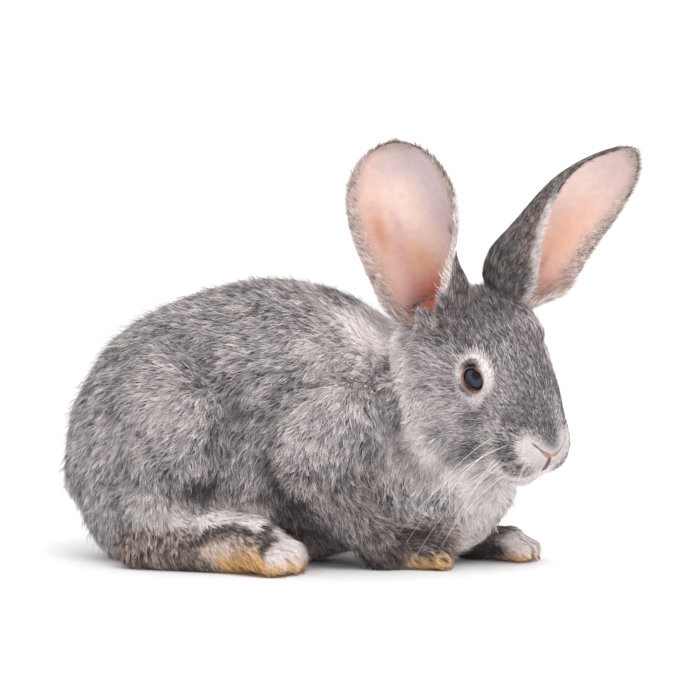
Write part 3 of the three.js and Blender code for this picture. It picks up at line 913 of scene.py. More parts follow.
# Where on the ear: t, across, their reach, how strong, and the colour. The darkest mark on each
# ear, near its root, is painted shade in the slit of a fold.
EAR_FLUSH_AND_SHADE = {
    "right": [
        (0.7, -0.1, 0.3, 0.6, 1, (0.84, 0.63, 0.55)),
        (0.9, 0.15, 0.1, 0.9, 0.85, (0.56, 0.46, 0.47)),
        (0.76, 0.5, 0.26, 0.34, 0.85, (0.56, 0.46, 0.49)),
        (0.55, 0.75, 0.16, 0.3, 0.8, (0.46, 0.34, 0.36)),
        (0.57, -0.62, 0.13, 0.16, 0.85, (0.56, 0.26, 0.15)),
        (0.4, -0.8, 0.2, 0.16, 0.6, (0.5, 0.31, 0.23)),
        (0.58, -0.32, 0.1, 0.09, 0.45, (0.5, 0.27, 0.31)),
        (0.45, -0.42, 0.1, 0.12, 0.5, (0.5, 0.27, 0.31)),
        (0.32, -0.5, 0.1, 0.14, 0.5, (0.5, 0.27, 0.31)),
        (0.37, -0.22, 0.13, 0.24, 0.8, (0.7, 0.36, 0.2)),
        (0.2, -0.3, 0.09, 0.35, 1, (0.5, 0.1, 0.07)),
        # painted shade in the slit at the ear's root
        (0.17, -0.6, 0.07, 0.2, 0.9, (0.13, 0.065, 0.05)),
        (0.51, 0.72, 0.03, 0.06, 0.8, (0.25, 0.06, 0.04)),
    ],
    "left": [
        (0.7, 0, 0.3, 0.9, 1, (0.86, 0.66, 0.6)),
        (0.75, -0.75, 0.3, 0.3, 0.9, (0.88, 0.78, 0.76)),
        (0.3, 0.15, 0.22, 0.2, 0.9, (0.86, 0.76, 0.73)),
        (0.5, 0.5, 0.2, 0.35, 0.85, (0.83, 0.46, 0.32)),
        (0.92, 0.1, 0.12, 1.5, 0.7, (0.62, 0.5, 0.5)),
        (0.45, 0.1, 0.2, 0.3, 0.6, (0.7, 0.42, 0.36)),
        (0.24, 0.52, 0.1, 0.06, 0.8, (0.45, 0.13, 0.1)),
        (0.19, 0.85, 0.07, 0.2, 0.8, (0.55, 0.17, 0.08)),
        # painted shade in the slit at the ear's root
        (0.1, 0.6, 0.08, 0.3, 0.9, (0.06, 0.03, 0.03)),
    ],
}


def ear_colour(side, t, across):
    """Bare skin inside the ear, with painted shade in the slit at its root."""
    colour = np.tile(np.array(EAR_SKIN), (len(t), 1))
    for at, beside, reach, spread, strength, paint in EAR_FLUSH_AND_SHADE[side]:
        share = strength * np.exp(-(((t - at) / reach) ** 2) - ((across - beside) / spread) ** 2)
        colour = mixed(colour, np.array(paint), share[:, None])
    return 0.9 * colour


class Coat:
    """What the hair does at every point of the skin."""

    def __init__(self, points, normals, spots):
        self.points, self.normals = points, normals
        self.lie, self.length = coat_at(points)
        tone = nearby(points, TONE_POINTS, TONE_VALUES, 4, 2.8)
        self.dark, self.brown, self.stain = tone.T.copy()
        # Painted shade in the folds, painted light on the swells.
        self.dark += folded(points, 1)
        self.on_small_places()
        self.cover = np.ones(len(points))
        self.bare = np.zeros((len(points), 3))
        self.bareness = np.zeros(len(points))
        self.group = self.groups()
        self.on_feet()
        self.around_eyes()
        self.on_muzzle()
        self.on_ears(spots)
        self.underneath()
        x, y, z = HEAD.local(points).T
        face = (self.group == 1) * smoothstep(x, -50, -30)
        self.calm = (self.group == 1) * smoothstep(np.abs(y), 16, 28) * smoothstep(-z, -8, 8)
        patches = 0.07 * ripple(points, 26, 3) + 0.05 * ripple(points, 11, 4)
        self.dark = self.dark + patches * (1 - 0.6 * face)
        swirl = 0.4 * ripple(points, 30, 8) + 0.2 * ripple(points, 12, 9)
        swirl = swirl * smoothstep(self.length, 2, 8)
        self.lie = unit(self.lie + swirl[:, None] * np.cross(normals, self.lie))
        sunk = (self.lie * normals).sum(1, keepdims=True)
        self.lie = unit(self.lie - sunk * normals)
        self.reach = self.length * (1.45 - 0.6 * smoothstep(self.length, 4, 9))

    def tint(self, share, *tone):
        """Brings the dark, the brown and the stain nearer to those given."""
        for values, value in zip((self.dark, self.brown, self.stain), tone):
            values += share * (value - values)

    def on_small_places(self):
        for point, radius, dark in SPOTS:
            near = np.exp(-(((self.points - point) ** 2).sum(1) / radius**2) ** 1.5)
            self.tint(near, dark, 0, 0)

    def on_feet(self):
        x, y, z = (self.points - BODY.origin).T
        speckle = ripple(self.points, 5, 12) + 0.7 * ripple(self.points, 2.2, 13)
        side_on = np.column_stack([x, 0 * x, z])
        ridge = np.interp(x, FOOT_ARC[:, 0], FOOT_ARC[:, 2])
        # Painted shade along the arc and in the cleft between the toes.
        arc = fade(line_distance(side_on, FOOT_ARC), 1, 3)
        cleft = fade(line_distance(side_on, TOE_CLEFT), 1.6, 3.8)
        heel = fade(x - np.interp(z, [4, 15], [16, 0]), -60, -54)
        toes = smoothstep(x, -16, -10)
        sole = heel * fade(z, 24, 30)
        pad = (1 - heel) * fade(z - ridge, -1, 1) * (1 - toes)
        gold_top = np.interp(x, [-40, -26, -18, -12, -3], [13, 18, 15, 8, 11])
        gold = smoothstep(x, -50, -42) * fade(z + 3.5 * speckle - gold_top, -4, 3)
        shaded = pad * np.exp(-(((z - (ridge - 2)) / 4.5) ** 2))
        # The top starts at LIGHTEST, paler than its white hair: painted light where the body shades
        # it.
        dark = LIGHTEST + 0.85 * sole + 0.25 * pad + 0.05 * toes + 0.3 * heel * (1 - sole)
        dark = dark + 0.1 * speckle + 0.6 * shaded
        dark = mixed(np.maximum(dark, np.maximum(0.95 * arc, cleft)), 0.1 + 0.14 * speckle, gold)
        self.mix_in("hind_foot", dark, 0.8 * sole + 0.3 * pad, 0.22 * pad * (1 - gold) + gold)
        gold = fade(z + 3 * speckle, 7, 13) * smoothstep(x + 4 * speckle, 52, 66)
        self.mix_in("forepaw_right", 1 - 0.84 * gold + 0.15 * speckle, 0.4 + 0 * x, gold)
        gold = fade(z + speckle, 4, 9) * smoothstep(x, 104, 116)
        # Far paw: its white top painted paler than white hair (painted light), painted shade
        # between toes.
        pale = smoothstep(x + 3 * np.sin(z * 0.6), 104, 118)
        flat = [1, 1, 0]
        apart = np.sort([line_distance(self.points * flat, np.array(toe) * flat)
                         for toe in toes_of("forepaw_left")[0]], 0)
        pale = pale * smoothstep(apart[1] - apart[0], 0.5, 2)
        self.mix_in("forepaw_left", 1 - 1.15 * pale, 0.2 * (1 - gold), gold)

    def mix_in(self, feet, *tones):
        for foot in FEET:
            if foot.startswith(feet):
                swell = np.minimum(folded(self.points, 0), 0)
                self.tint(fade(foot_mass(foot)(self.points) + swell, 0, 4.5), *tones)

    def groups(self):
        """0 body, 1 head, 2 to 5 the legs."""
        legs = [foot_mass(foot)(self.points) for foot in FEET]
        head = np.minimum(blended(15, head_mass, jaw_mass)(self.points), 30)
        near_ruff = HEAD.local(self.points)[:, 0] < -62
        body = np.minimum(torso_mass(self.points), neck_mass(self.points))
        return np.argmin([body, np.where(near_ruff, 40, head - 6), *(leg - 5 for leg in legs)], 0)

    def paint_bare(self, share, colour):
        self.bareness = np.maximum(self.bareness, share)
        self.bare = mixed(self.bare, np.array(colour), share[:, None])

    def around_eyes(self):
        for side in SIDES:
            away, bearing = ring_of(side, self.points)
            edge = np.interp(bearing, *zip(*RING_EDGE))
            self.dark = mixed(self.dark, WHITE, fade(away, edge - 0.35, edge + 0.25))
            patch = 1.3 * np.exp(-(((bearing - 124) / 40) ** 4)) * fade(away, 1.15, 1.5)
            under = np.exp(-(((bearing + 105) / 40) ** 2)) * fade(away, 1.12, 1.35)
            self.dark = mixed(self.dark, 0.95, np.clip(np.maximum(patch, 0.8 * under), 0, 1))
            near = fade(away, 1.2, 2.6)
            outwards = EYES[side].way(unit(EYES[side].local(self.points) * [1, 0, 1]))
            self.lie = unit(self.lie + 1.6 * near[:, None] * outwards)
            self.length = self.length * (1 - 0.45 * near)
            self.cover[away < 1.06] = 0
            self.paint_bare(fade(away, 1.02, 1.12), LID_SKIN)

    def on_muzzle(self):
        _, y, z = HEAD.local(self.points).T
        for side, sign in SIDES.items():
            gap = NOSTRILS[side](self.points)
            outwards = sign * y
            below = fade(z - (-22 + 0.71 * (outwards - 2.5)), -0.6, 0.6)
            white = fade(gap, 0.3 + 2.5 * below, 1.2 + 3.6 * below) * (outwards > -1)
            self.dark = mixed(self.dark, 0.01, white)
            self.length = self.length * (1 - 0.5 * fade(gap, 1, 8))
            self.cover[gap < 0.2] = 0
            outer = smoothstep(outwards, 2, 11)[:, None]
            self.paint_bare(fade(gap, -0.5, 0.4), mixed(NOSTRIL_INNER, NOSTRIL_OUTER, outer))
        gap = LIP_CLEFT(self.points)
        self.cover[gap < 0.1] = 0
        self.paint_bare(fade(gap, -0.3, 0.9), LIP_SKIN)
        for x, y, z in WHISKER_ROOTS:
            for sign in SIDES.values():
                spot = HEAD.point([x, sign * y, z])
                self.dark = self.dark + 0.8 * np.exp(-((self.points - spot) ** 2).sum(1) / 1.3**2)

    def on_ears(self, spots):
        number, t, across, inner, away = spots.T
        joined = fade(away, 0.3, EAR_JOIN)
        mouth = (inner > 0.5) & (t < 0.34) & (away > 0.3)
        self.length = self.length * np.where(mouth, 0.45 + 0.55 * smoothstep(away, 4, 15), 1)
        for form in EAR_FORMS.values():
            hollow = fade(form.mouth()(self.points), 0.3, 1.5)
            hollow = hollow * smoothstep(t, 0.08, 0.12) * (away > 0.3)
            self.cover = self.cover * (1 - hollow)
            self.paint_bare(hollow, EAR_FLOOR)
        for i, side in enumerate(SIDES):
            own = (number == i) & (away < EAR_JOIN)
            tt, aa, inside = t[own], across[own], inner[own] > 0.5
            wide = np.abs(aa)
            _, to_tip, to_rim = EAR_FORMS[side].faces_of(tt, aa, inside)
            outwards = to_rim * np.sign(aa)[:, None]
            rim = np.maximum(smoothstep(wide, 0.7, 0.97), smoothstep(tt, 0.93, 0.985))
            edge = smoothstep(wide, 0.9, 0.97)
            root = fade(tt, 0.15, 0.4)
            lie = np.where(inside[:, None], to_tip * 0.8 + outwards * 0.6,
                           to_tip * 0.9 + outwards * (0.25 + 0.5 * edge[:, None]))
            length = np.where(inside, 2.2 + 1.4 * rim + 2.5 * root, 2.9 + 2.5 * root) + 0.8 * edge
            marks = self.on_right_ear if side == "right" else self.on_left_ear
            dark, brown, fringe, length = marks(tt, aa, inside, rim, edge, length)
            dark = mixed(dark, WHITE, fringe)
            brown = brown * (1 - fringe)
            length = length + 2.2 * fringe
            share = joined[own]
            self.lie[own] = unit(mixed(self.lie[own], unit(lie), share[:, None]))
            for values, value in ((self.length, length), (self.dark, dark), (self.brown, brown)):
                values[own] = mixed(values[own], value, share)
            down = smoothstep(0.2 - tt, 0, 0.08)
            cover = np.where(inside, np.maximum(rim * 0.65, 0.5 * down), 0.9)
            cover = np.maximum(cover, (1.4 if side == "left" else 1.1) * edge)
            self.cover[own] = np.where(away[own] < EAR_EDGE, cover, self.cover[own])
            bare = np.zeros(len(self.points))
            bare[own] = np.where(inside, 1 - 0.2 * rim, 0) * share
            colour = np.zeros((len(self.points), 3))
            colour[own] = ear_colour(side, tt, aa)
            self.bareness = np.maximum(self.bareness * (1 - bare), bare)
            self.bare = mixed(self.bare, colour, bare[:, None])
            self.group[own & (away < EAR_EDGE)] = 6 + i

    def on_right_ear(self, t, across, inside, rim, edge, length):
        """Dark, brown, fringe and length of the hair; the front rim carries the white fringe."""
        fringe = edge * (across > 0) * (t < 0.66) * smoothstep(t, 0.15, 0.25)
        dark = np.where(inside, np.where((across < 0) & (t < 0.4), 0.34, 0.28), 0.75)
        pale_rim = np.maximum(smoothstep(-across, 0.86, 0.96),
                              smoothstep(t - 0.1 * across, 0.93, 1))
        dark = dark - 0.5 * np.where(inside, 0, pale_rim)
        dark = dark + 0.15 * inside * smoothstep(t, 0.9, 0.97)
        # Painted shade, darker and browner hair, in the slit of the fold at the ear's root.
        fold = inside * np.exp(-(((across + 0.62) / 0.16) ** 2) - ((t - 0.19) / 0.08) ** 2)
        return dark + 0.5 * fold, np.where(inside, 0.5, 0.15) + 0.5 * fold, fringe, length

    def on_left_ear(self, t, across, inside, rim, edge, length):
        """The same for the far ear, whose top is dark along the rim."""
        fringe = (across < 0) * np.where(inside, rim, smoothstep(-across, 0.93, 0.97))
        top = smoothstep(t, 0.5, 0.6) * (across < 0)
        near_rim = smoothstep(np.abs(across), 0.9, 0.95)
        fringe = fringe * (1 - top * near_rim)
        dark = np.where(inside, 0.28, 0.75)
        dark = dark + (0.85 - dark) * top * inside * near_rim
        red = ~inside & (across < -0.86) & (across > -0.95) & (t > 0.2) & (t < 0.55)
        brown = np.where(red, 1.1, np.where(inside, 0.5, 0.15))
        dark = np.where(inside & (t > 0.93), 0.4, dark)
        base = fade(t, 0.15, 0.4) * smoothstep(across, 0.4, 0.7)
        dark = mixed(dark, 0.1, base) - 0.3 * ~inside * smoothstep(across, 0.8, 0.95)
        return dark, brown, fringe, length + 3 * base

    def underneath(self):
        z = self.points[:, 2]
        down = self.normals[:, 2] < -0.5
        self.cover = np.where(down & (z < 30), self.cover * 0.4, self.cover)
        self.cover = np.where(z < 1.6, 0, self.cover)
        self.length = np.minimum(self.length, 4 + 0.7 * z)


def shade(mesh, colours):
    """Stores a colour for each of the mesh's points."""
    layer = mesh.color_attributes.new("tone", "FLOAT_COLOR", "POINT")
    layer.data.foreach_set("color", np.column_stack([colours, np.ones(len(colours))])
                           .astype(np.float32).ravel())


def smooth(mesh):
    mesh.polygons.foreach_set("use_smooth", np.ones(len(mesh.polygons), bool))
    mesh.update()


def add_piece(name, points, faces, tones=None):
    mesh = mesh_of(name, points, faces)
    if tones is not None:
        shade(mesh, tones)
    smooth(mesh)
    return add_object(name, mesh)


skin_points = coordinates(skin.data) / MM
skin.data.update()
skin_normals = np.array([n.vector for n in skin.data.vertex_normals])
coat = Coat(skin_points, skin_normals, spots)
under = hair_colour(coat.dark * 0.7 + 0.3, coat.brown, coat.stain) * 0.9
share = coat.bareness[:, None]
shade(skin.data, mixed(under, coat.bare, share))
smooth(skin.data)

# ---------------------------------------------------------------- hair

HAIR_TRIANGLES = 1_400_000
LARGEST_PIECE = 190_000
CLUMP = 9  # hairs that run together
GUARD_SHARE = 0.09  # of the hairs are longer and stand out
HAIR_ROWS = (0, 0.55, 1)  # shares of the length at which a hair has points
ATLAS_GAP = 0.006
BAKE_PATCH = (0.0015, 0.003)  # half the width and the length of a hair's place in the atlas
REGIONS = np.array(["body", "head", "legs", "legs", "legs", "legs", "ears", "ears"])  # by group
rng = np.random.default_rng(SEED)


def strand_width(length):
    return 0.19 + 0.018 * length


def scatter(mesh):
    """Draws the roots of the hairs: the triangle each is in, and its place in it."""
    mesh.calc_loop_triangles()
    corners = fetched(mesh.loop_triangles, "vertices", 3, np.int32)
    p = coat.points[corners]
    area = np.linalg.norm(np.cross(p[:, 1] - p[:, 0], p[:, 2] - p[:, 0]), axis=1) / 2
    length = coat.reach[corners].mean(1)
    dense = (5.5 + 0.3 * length) / (length * strand_width(length)) * coat.cover[corners].mean(1)
    dense[(coat.cover[corners] == 0).any(1)] = 0
    wanted = area * dense
    count = HAIR_TRIANGLES // 3
    along = (np.arange(count) + rng.random(count)) / count * wanted.sum()
    which = np.searchsorted(np.cumsum(wanted), along).clip(0, len(wanted) - 1)
    a, b = rng.random((2, count))
    a = np.sqrt(a)
    return corners[which], np.column_stack([1 - a, a * (1 - b), a * b])


def atlas_of(points, normals, group):
    """Lays the skin out flat, each group boxed in six directions, packed into the unit square.
    Returns the place of every point in it."""
    axis = np.argmax(np.abs(normals), 1)
    chart = group * 6 + axis * 2 + (normals[np.arange(len(axis)), axis] < 0)
    flat = np.empty((len(points), 2))
    for k in range(3):
        flat[axis == k] = points[axis == k][:, [(k + 1) % 3, (k + 2) % 3]]
    charts = np.unique(chart)
    lows = {c: flat[chart == c].min(0) for c in charts}
    sizes = {c: flat[chart == c].max(0) - lows[c] + 4 for c in charts}
    order = sorted(charts, key=lambda c: -sizes[c][1])
    side = 1.12 * math.sqrt(sum(s.prod() for s in sizes.values()))
    while True:
        x = y = shelf = 0
        spots = {}
        for c in order:
            if x + sizes[c][0] > side:
                x, y, shelf = 0, y + shelf, 0
            spots[c] = (x, y)
            x, shelf = x + sizes[c][0], max(shelf, sizes[c][1])
        if y + shelf <= side and max(s[0] for s in sizes.values()) <= side:
            break
        side *= 1.04
    out = np.empty_like(flat)
    for c in charts:
        own = chart == c
        out[own] = (flat[own] - lows[c] + 2 + np.array(spots[c])) / side
    return ATLAS_GAP + out * (1 - 2 * ATLAS_GAP)


class Hairs:
    """Every hair of the coat as a row of points, with its width, colour and normal."""

    def __init__(self, corners, shares):
        def mix(values):
            return (values[corners] * (shares if values.ndim == 1 else shares[..., None])).sum(1)

        self.root = mix(coat.points)
        self.normal = unit(mix(coat.normals))
        lie = mix(coat.lie)
        lie = unit(lie - (lie * self.normal).sum(1, keepdims=True) * self.normal)
        count = len(self.root)
        self.group = coat.group[corners[np.arange(count), shares.argmax(1)]]
        guard = rng.random(count) < GUARD_SHARE
        depth = mix(coat.length)
        short = fade(depth, 3, 8)
        spread = rng.normal(size=count) * (0.2 - 0.1 * short)
        beside = np.cross(self.normal, lie)
        self.lie = unit(lie + beside * spread[:, None])
        self.length = mix(coat.reach) * rng.uniform(0.75, 1.15, count) * np.where(guard, 1.25, 1)
        self.dark, self.brown, self.stain = mix(coat.dark), mix(coat.brown), mix(coat.stain)
        stand = COAT_DEPTH * depth / (0.7 * self.length) * (1 - 0.3 * short)
        stand = stand * np.where(self.group >= 6, 0.7, np.where(guard, 1.7, 1))
        self.lift = stand * rng.uniform(0.6, 1.3, count)
        self.wave = rng.normal(size=(count, 2)) * (0.1 - 0.06 * short)[:, None]
        self.turned = rng.uniform(-0.6, 0.6, count)
        self.calm = mix(coat.calm)
        self.clump(short)

    def path(self, s, own=slice(None)):
        """Points of the hairs at a share s of their length, before they run together."""
        length, lift = self.length[own, None], self.lift[own, None]
        beside = np.cross(self.normal[own], self.lie[own])
        bend = np.sin(s * math.pi * 1.3) * self.wave[own, :1] + s * s * self.wave[own, 1:]
        return (self.root[own] - 0.3 * self.normal[own] + self.lie[own] * length * s * 0.94
                + self.normal[own] * length * lift * s * (1.3 - 0.6 * s) + beside * length * bend)

    def clump(self, short):
        """Hairs run together towards the tip of the hair in their middle and share its tone."""
        count = len(self.root)
        small = np.where(self.group == 1, 3.4 * short, 0)
        centres = np.flatnonzero(rng.random(count) < (1 + small) / CLUMP)
        nearest, away = closest(self.root, self.root[centres])
        centre = centres[nearest]
        self.pull = self.path(1)[centre] - self.path(1)
        reach = np.linalg.norm(self.pull, axis=1)
        keep = (0.6 - 0.25 * short) * fade(reach, 3, 7)
        keep = keep * np.where(self.group >= 6, 0.25, 1)
        self.pull = self.pull * keep[:, None]
        face = short * (self.group == 1)
        self.tone = (0.19 - 0.02 * face) * rng.normal(size=count)[centre]
        self.tone += (0.17 + 0.12 * face) * rng.normal(size=count)
        self.tone *= 1 - 0.3 * self.calm

    def at(self, s, own):
        return self.path(s, own) + self.pull[own] * s**1.3

    def colours(self, s, own):
        """Slate at the root, paler towards the tip."""
        dark = self.dark[own]
        contrast = np.maximum(1.2 - 1.3 * np.abs(dark - 0.5), 0.75)
        slate = 0.5 * (1 - s) ** 1.3 - 0.12 * s
        dark = dark + self.tone[own] * contrast + slate * smoothstep(dark, 0.02, 0.3)
        return hair_colour(dark, self.brown[own], self.stain[own])


def hair_mesh(name, own):
    """Tapering ribbons for the hairs named by own."""
    count, last = len(own), len(HAIR_ROWS) - 1
    points_each = 2 * last + 1
    points = np.empty((count, points_each, 3))
    colours = np.empty((count, points_each, 3))
    across = unit(np.cross(hairs.lie[own], hairs.normal[own]))
    turned = hairs.turned[own, None]
    across = across * np.cos(turned) + hairs.normal[own] * np.sin(turned)
    half = strand_width(hairs.length[own])[:, None] / 2
    for i, s in enumerate(HAIR_ROWS):
        middle = hairs.at(s, own)
        colour = hairs.colours(s, own)
        if i == last:
            points[:, -1], colours[:, -1] = middle, colour
        else:
            wide = half * (1 - 0.45 * s)
            points[:, 2 * i], points[:, 2 * i + 1] = middle - across * wide, middle + across * wide
            colours[:, 2 * i] = colours[:, 2 * i + 1] = colour
    points[..., 2] = np.maximum(points[..., 2], HAIR_GAP)
    one = []
    for i in range(last - 1):
        a = 2 * i
        one += [(a, a + 1, a + 3), (a, a + 3, a + 2)]
    one.append((2 * last - 2, 2 * last - 1, 2 * last))
    faces = (np.array(one)[None] + (np.arange(count) * points_each)[:, None, None]).reshape(-1, 3)
    mesh = bpy.data.meshes.new(name)
    mesh.vertices.add(count * points_each)
    mesh.vertices.foreach_set("co", (points * MM).astype(np.float32).ravel())
    mesh.loops.add(faces.size)
    mesh.loops.foreach_set("vertex_index", faces.astype(np.int32).ravel())
    mesh.polygons.add(len(faces))
    mesh.polygons.foreach_set("loop_start", np.arange(len(faces), dtype=np.int32) * 3)
    mesh.update(calc_edges=True)
    smooth(mesh)
    flat = np.concatenate([[[-1, s], [1, s]] if s < 1 else [[0, 1]] for s in HAIR_ROWS])
    places = (skin_atlas[own][:, None] + (flat - [0, 0.5]) * BAKE_PATCH).reshape(-1, 2)
    mesh.uv_layers.new(name="OFBake")
    mesh.uv_layers["OFBake"].data.foreach_set("uv", places[faces.ravel()]
                                              .astype(np.float32).ravel())
    shade(mesh, colours.reshape(-1, 3))
    soft = np.repeat(hairs.normal[own], points_each, 0)
    mesh.normals_split_custom_set_from_vertices(soft.tolist())
    return mesh


hairs = Hairs(*scatter(skin.data))
skin_atlas = atlas_of(hairs.root, hairs.normal, hairs.group)
coat_pieces = []
for region in ("body", "head", "legs", "ears"):
    own = np.flatnonzero(REGIONS[hairs.group] == region)
    for part, some in enumerate(np.array_split(own, math.ceil(len(own) * 3 / LARGEST_PIECE))):
        name = f"fur_{region}_{part + 1}"
        coat_pieces.append((add_object(name, hair_mesh(name, some)), region))

# ---------------------------------------------------------------- lids, eyes, whiskers, claws

# Round the section of the lids' rim: distance from the eye's middle, share of the opening.
LID_RING = [
    (9, 0.99), (9.25, 0.94), (9.8, 0.92), (10.4, 0.95), (10.7, 1.01), (10.5, 1.07), (10, 1.1),
    (9.2, 1.06),
]
LID_STEPS = 72
LID_PINK, LID_DARK = np.array([0.34, 0.19, 0.155]), np.array([0.03, 0.022, 0.022])


def lids(side):
    """A rolled rim round the eye."""
    angle = np.linspace(0, 2 * math.pi, LID_STEPS, endpoint=False)
    rows = []
    for reach, share in LID_RING:
        ruffle = 1 + 0.012 * np.sin(angle * 9 + reach)
        x = LID_LONG * share * np.cos(angle) * ruffle
        z = LID_UP + LID_HIGH * share * np.sin(angle) * ruffle
        y = np.sqrt(np.maximum(reach**2 - x * x - z * z, 1))
        rows.append(np.stack([x, y, z], -1))
    order = (0, 1, 2, 3) if side == "left" else (3, 2, 1, 0)
    bearing = np.degrees(np.tile(angle, len(rows)))
    above = np.exp(-(((bearing - 112) / 50) ** 2))
    below = np.exp(-(((bearing - 255) / 38) ** 2))
    dark = np.maximum(above, 0.8 * below)[:, None]
    return add_piece(f"lids_{side}", EYES[side].point(np.concatenate(rows)),
                     ring_faces(len(rows), LID_STEPS, order, closed=True),
                     mixed(LID_PINK, LID_DARK, dark))


# How far a place on the eye is from its gaze, in degrees, and its colour. From 20 to 40 degrees
# the dark brown iris is painted blue-grey: a painted reflection of the white surroundings.
EYE_TONES = [
    (0, 0.001, 0.001, 0.001), (17, 0.001, 0.001, 0.001), (20, 0.032, 0.035, 0.066),
    (40, 0.036, 0.038, 0.072), (50, 0.012, 0.01, 0.012), (66, 0.012, 0.009, 0.009),
    (72, 0.3, 0.22, 0.2), (180, 0.4, 0.3, 0.28),
]
GAZE = (0.17, 0.86, 0.58)
EYE_RINGS, EYE_STEPS = 48, 64
EYE_INSET = 0.15  # the wet eye lies this far inside the CAD's


def eyeball(side):
    """A ball in rings about its gaze, the cornea raised a little."""
    gaze = unit(GAZE)
    beside = unit(np.cross(gaze, [0, 0, 1]))
    above = np.cross(beside, gaze)
    bearing = np.linspace(0, 2 * math.pi, EYE_STEPS, endpoint=False)
    points, turns = [], []
    for i in range(EYE_RINGS + 1):
        away = math.pi * (i + 0.02) / (EYE_RINGS + 0.04)
        raised = 1 + 0.02 * math.exp(-((math.degrees(away) / 38) ** 4))
        ring = (math.cos(away) * gaze + math.sin(away) * (
            np.cos(bearing)[:, None] * beside + np.sin(bearing)[:, None] * above))
        points.append(ring * (EYE_RADIUS - EYE_INSET) * raised)
        turns.append(np.full(EYE_STEPS, math.degrees(away)))
    points, turns = np.concatenate(points), np.concatenate(turns)
    faces = ring_faces(EYE_RINGS + 1, EYE_STEPS, (0, 3, 2, 1) if side == "left" else (1, 2, 3, 0))
    last = EYE_RINGS * EYE_STEPS
    faces += [tuple(range(EYE_STEPS)), tuple(range(last, last + EYE_STEPS))[::-1]]
    # The top of the ball is painted darker: painted shade under the upper lid.
    lid_shade = 1 - 0.75 * smoothstep(points[:, 2] / EYE_RADIUS, 0.45, 0.7)
    angles, *tones = zip(*EYE_TONES)
    tones = np.column_stack([np.interp(turns, angles, tone) * lid_shade for tone in tones])
    return add_piece(f"eyeball_{side}", EYES[side].point(points), faces, tones)


def tapered(path, radii, sides):
    """Points and faces of a closed tube along the path."""
    path, radii = np.asarray(path, float), np.asarray(radii, float)
    along = unit(np.gradient(path, axis=0))
    beside = unit(np.cross(along, [0.31, 0.2, 0.93]))
    above = np.cross(along, beside)
    angle = np.linspace(0, 2 * math.pi, sides, endpoint=False)[None, :, None]
    rings = path[:, None] + radii[:, None, None] * (
        np.cos(angle) * beside[:, None] + np.sin(angle) * above[:, None])
    last = (len(path) - 1) * sides
    faces = ring_faces(len(path), sides)
    faces += [tuple(range(sides))[::-1], tuple(range(last, last + sides))]
    return rings.reshape(-1, 3), faces


def tubes(name, paths, sides):
    """One mesh of many tapered tubes: (path, radii) pairs."""
    points, faces, start = [], [], 0
    for path, radii in paths:
        own, own_faces = tapered(path, radii, sides)
        points.append(own)
        faces += [[i + start for i in f] for f in own_faces]
        start += len(own)
    return add_piece(name, np.concatenate(points), faces)


WHISKER_RADIUS, BRISTLE_RADIUS = 0.15, 0.25
CLAW_LENGTH, CLAW_DROP = 4.8, 2.2
CLAW_INSIDE, CLAW_UP = 4.5, 4  # how far its root is inside the toe, and above the floor
SKIN_TREE = tree_of(skin_points)


def on_skin(point):
    _, nearest, _ = SKIN_TREE.find(point)
    return skin_points[nearest], skin_normals[nearest]


def whisker_paths():
    """On each side ten whiskers of the lip, three over the eye and three of the chin."""
    draw = np.random.default_rng(SEED + 1)
    paths = []
    s = np.linspace(0, 1, 14)[:, None]
    # root, way, length, how much of the length it sags
    roots = [(root, (-0.4, 0.5, -0.8), 88, 0.35) for root in WHISKER_ROOTS[5:15]]
    roots += [((6 + 4 * k, 18, 16), (0.25, 0.35, 1), 24, 0.1) for k in range(3)]
    roots += [((49, 13, -25 - 3 * k), (0.5, 0.8, -0.3), 14, 0.1) for k in range(3)]
    for sign in SIDES.values():
        for (x, y, z), way, length, sag in roots:
            root, normal = on_skin(HEAD.point([x, sign * y, z]))
            way = unit(HEAD.way(unit([way[0], sign * way[1], way[2]]))
                       + draw.normal(size=3) * 0.1 + normal * 0.1)
            length = length * draw.uniform(0.6, 1.1)
            fall = np.array([0, 0, -sag * length]) - way * length * sag * 0.4
            path = root - normal * 0.8 + way * length * s + fall * s * s
            path[:, 2] = np.maximum(path[:, 2], WHISKER_GAP)
            paths.append((path, WHISKER_RADIUS * (1 - 0.75 * s[:, 0])))
    return paths


def bristle_paths():
    """Short dark bristles in rows on the pads of the lip."""
    draw = np.random.default_rng(SEED + 2)
    s = np.linspace(0, 1, 5)[:, None]
    paths = []
    for x, y, z in WHISKER_ROOTS:
        for sign in SIDES.values():
            root, normal = on_skin(HEAD.point([x, sign * y, z] + draw.normal(size=3) * 0.5))
            lifted = 0.6 if sign < 0 else 0.1
            way = unit(HEAD.way(unit([-0.7, sign * 0.4, 0])) + normal * lifted)
            path = root + normal * 0.5 + way * draw.uniform(2.6, 3.8) * s
            paths.append((path, (BRISTLE_RADIUS + 0.12 * lifted) * (1 - 0.7 * s[:, 0])))
    return paths


def claw_paths():
    s = np.linspace(0, 1, 9)
    paths = []
    for foot, (*_, kind) in FEET.items():
        toes, forwards = toes_of(foot)
        for _, end in toes:
            start = end + forwards * (kind["radii"][2] - CLAW_INSIDE)
            start[2] = CLAW_UP
            path = start + np.outer(s, forwards * CLAW_LENGTH)
            path = path - np.outer(s**2.2, [0, 0, CLAW_DROP])
            paths.append((path, 1 - s**1.6 * 0.85))
    return paths


eye_rims = {side: lids(side) for side in SIDES}
eyeballs = {side: eyeball(side) for side in SIDES}
whiskers = tubes("whiskers", whisker_paths(), 5)
bristles = tubes("bristles", bristle_paths(), 5)
claws = tubes("claws", claw_paths(), 10)

# ---------------------------------------------------------------- finishes


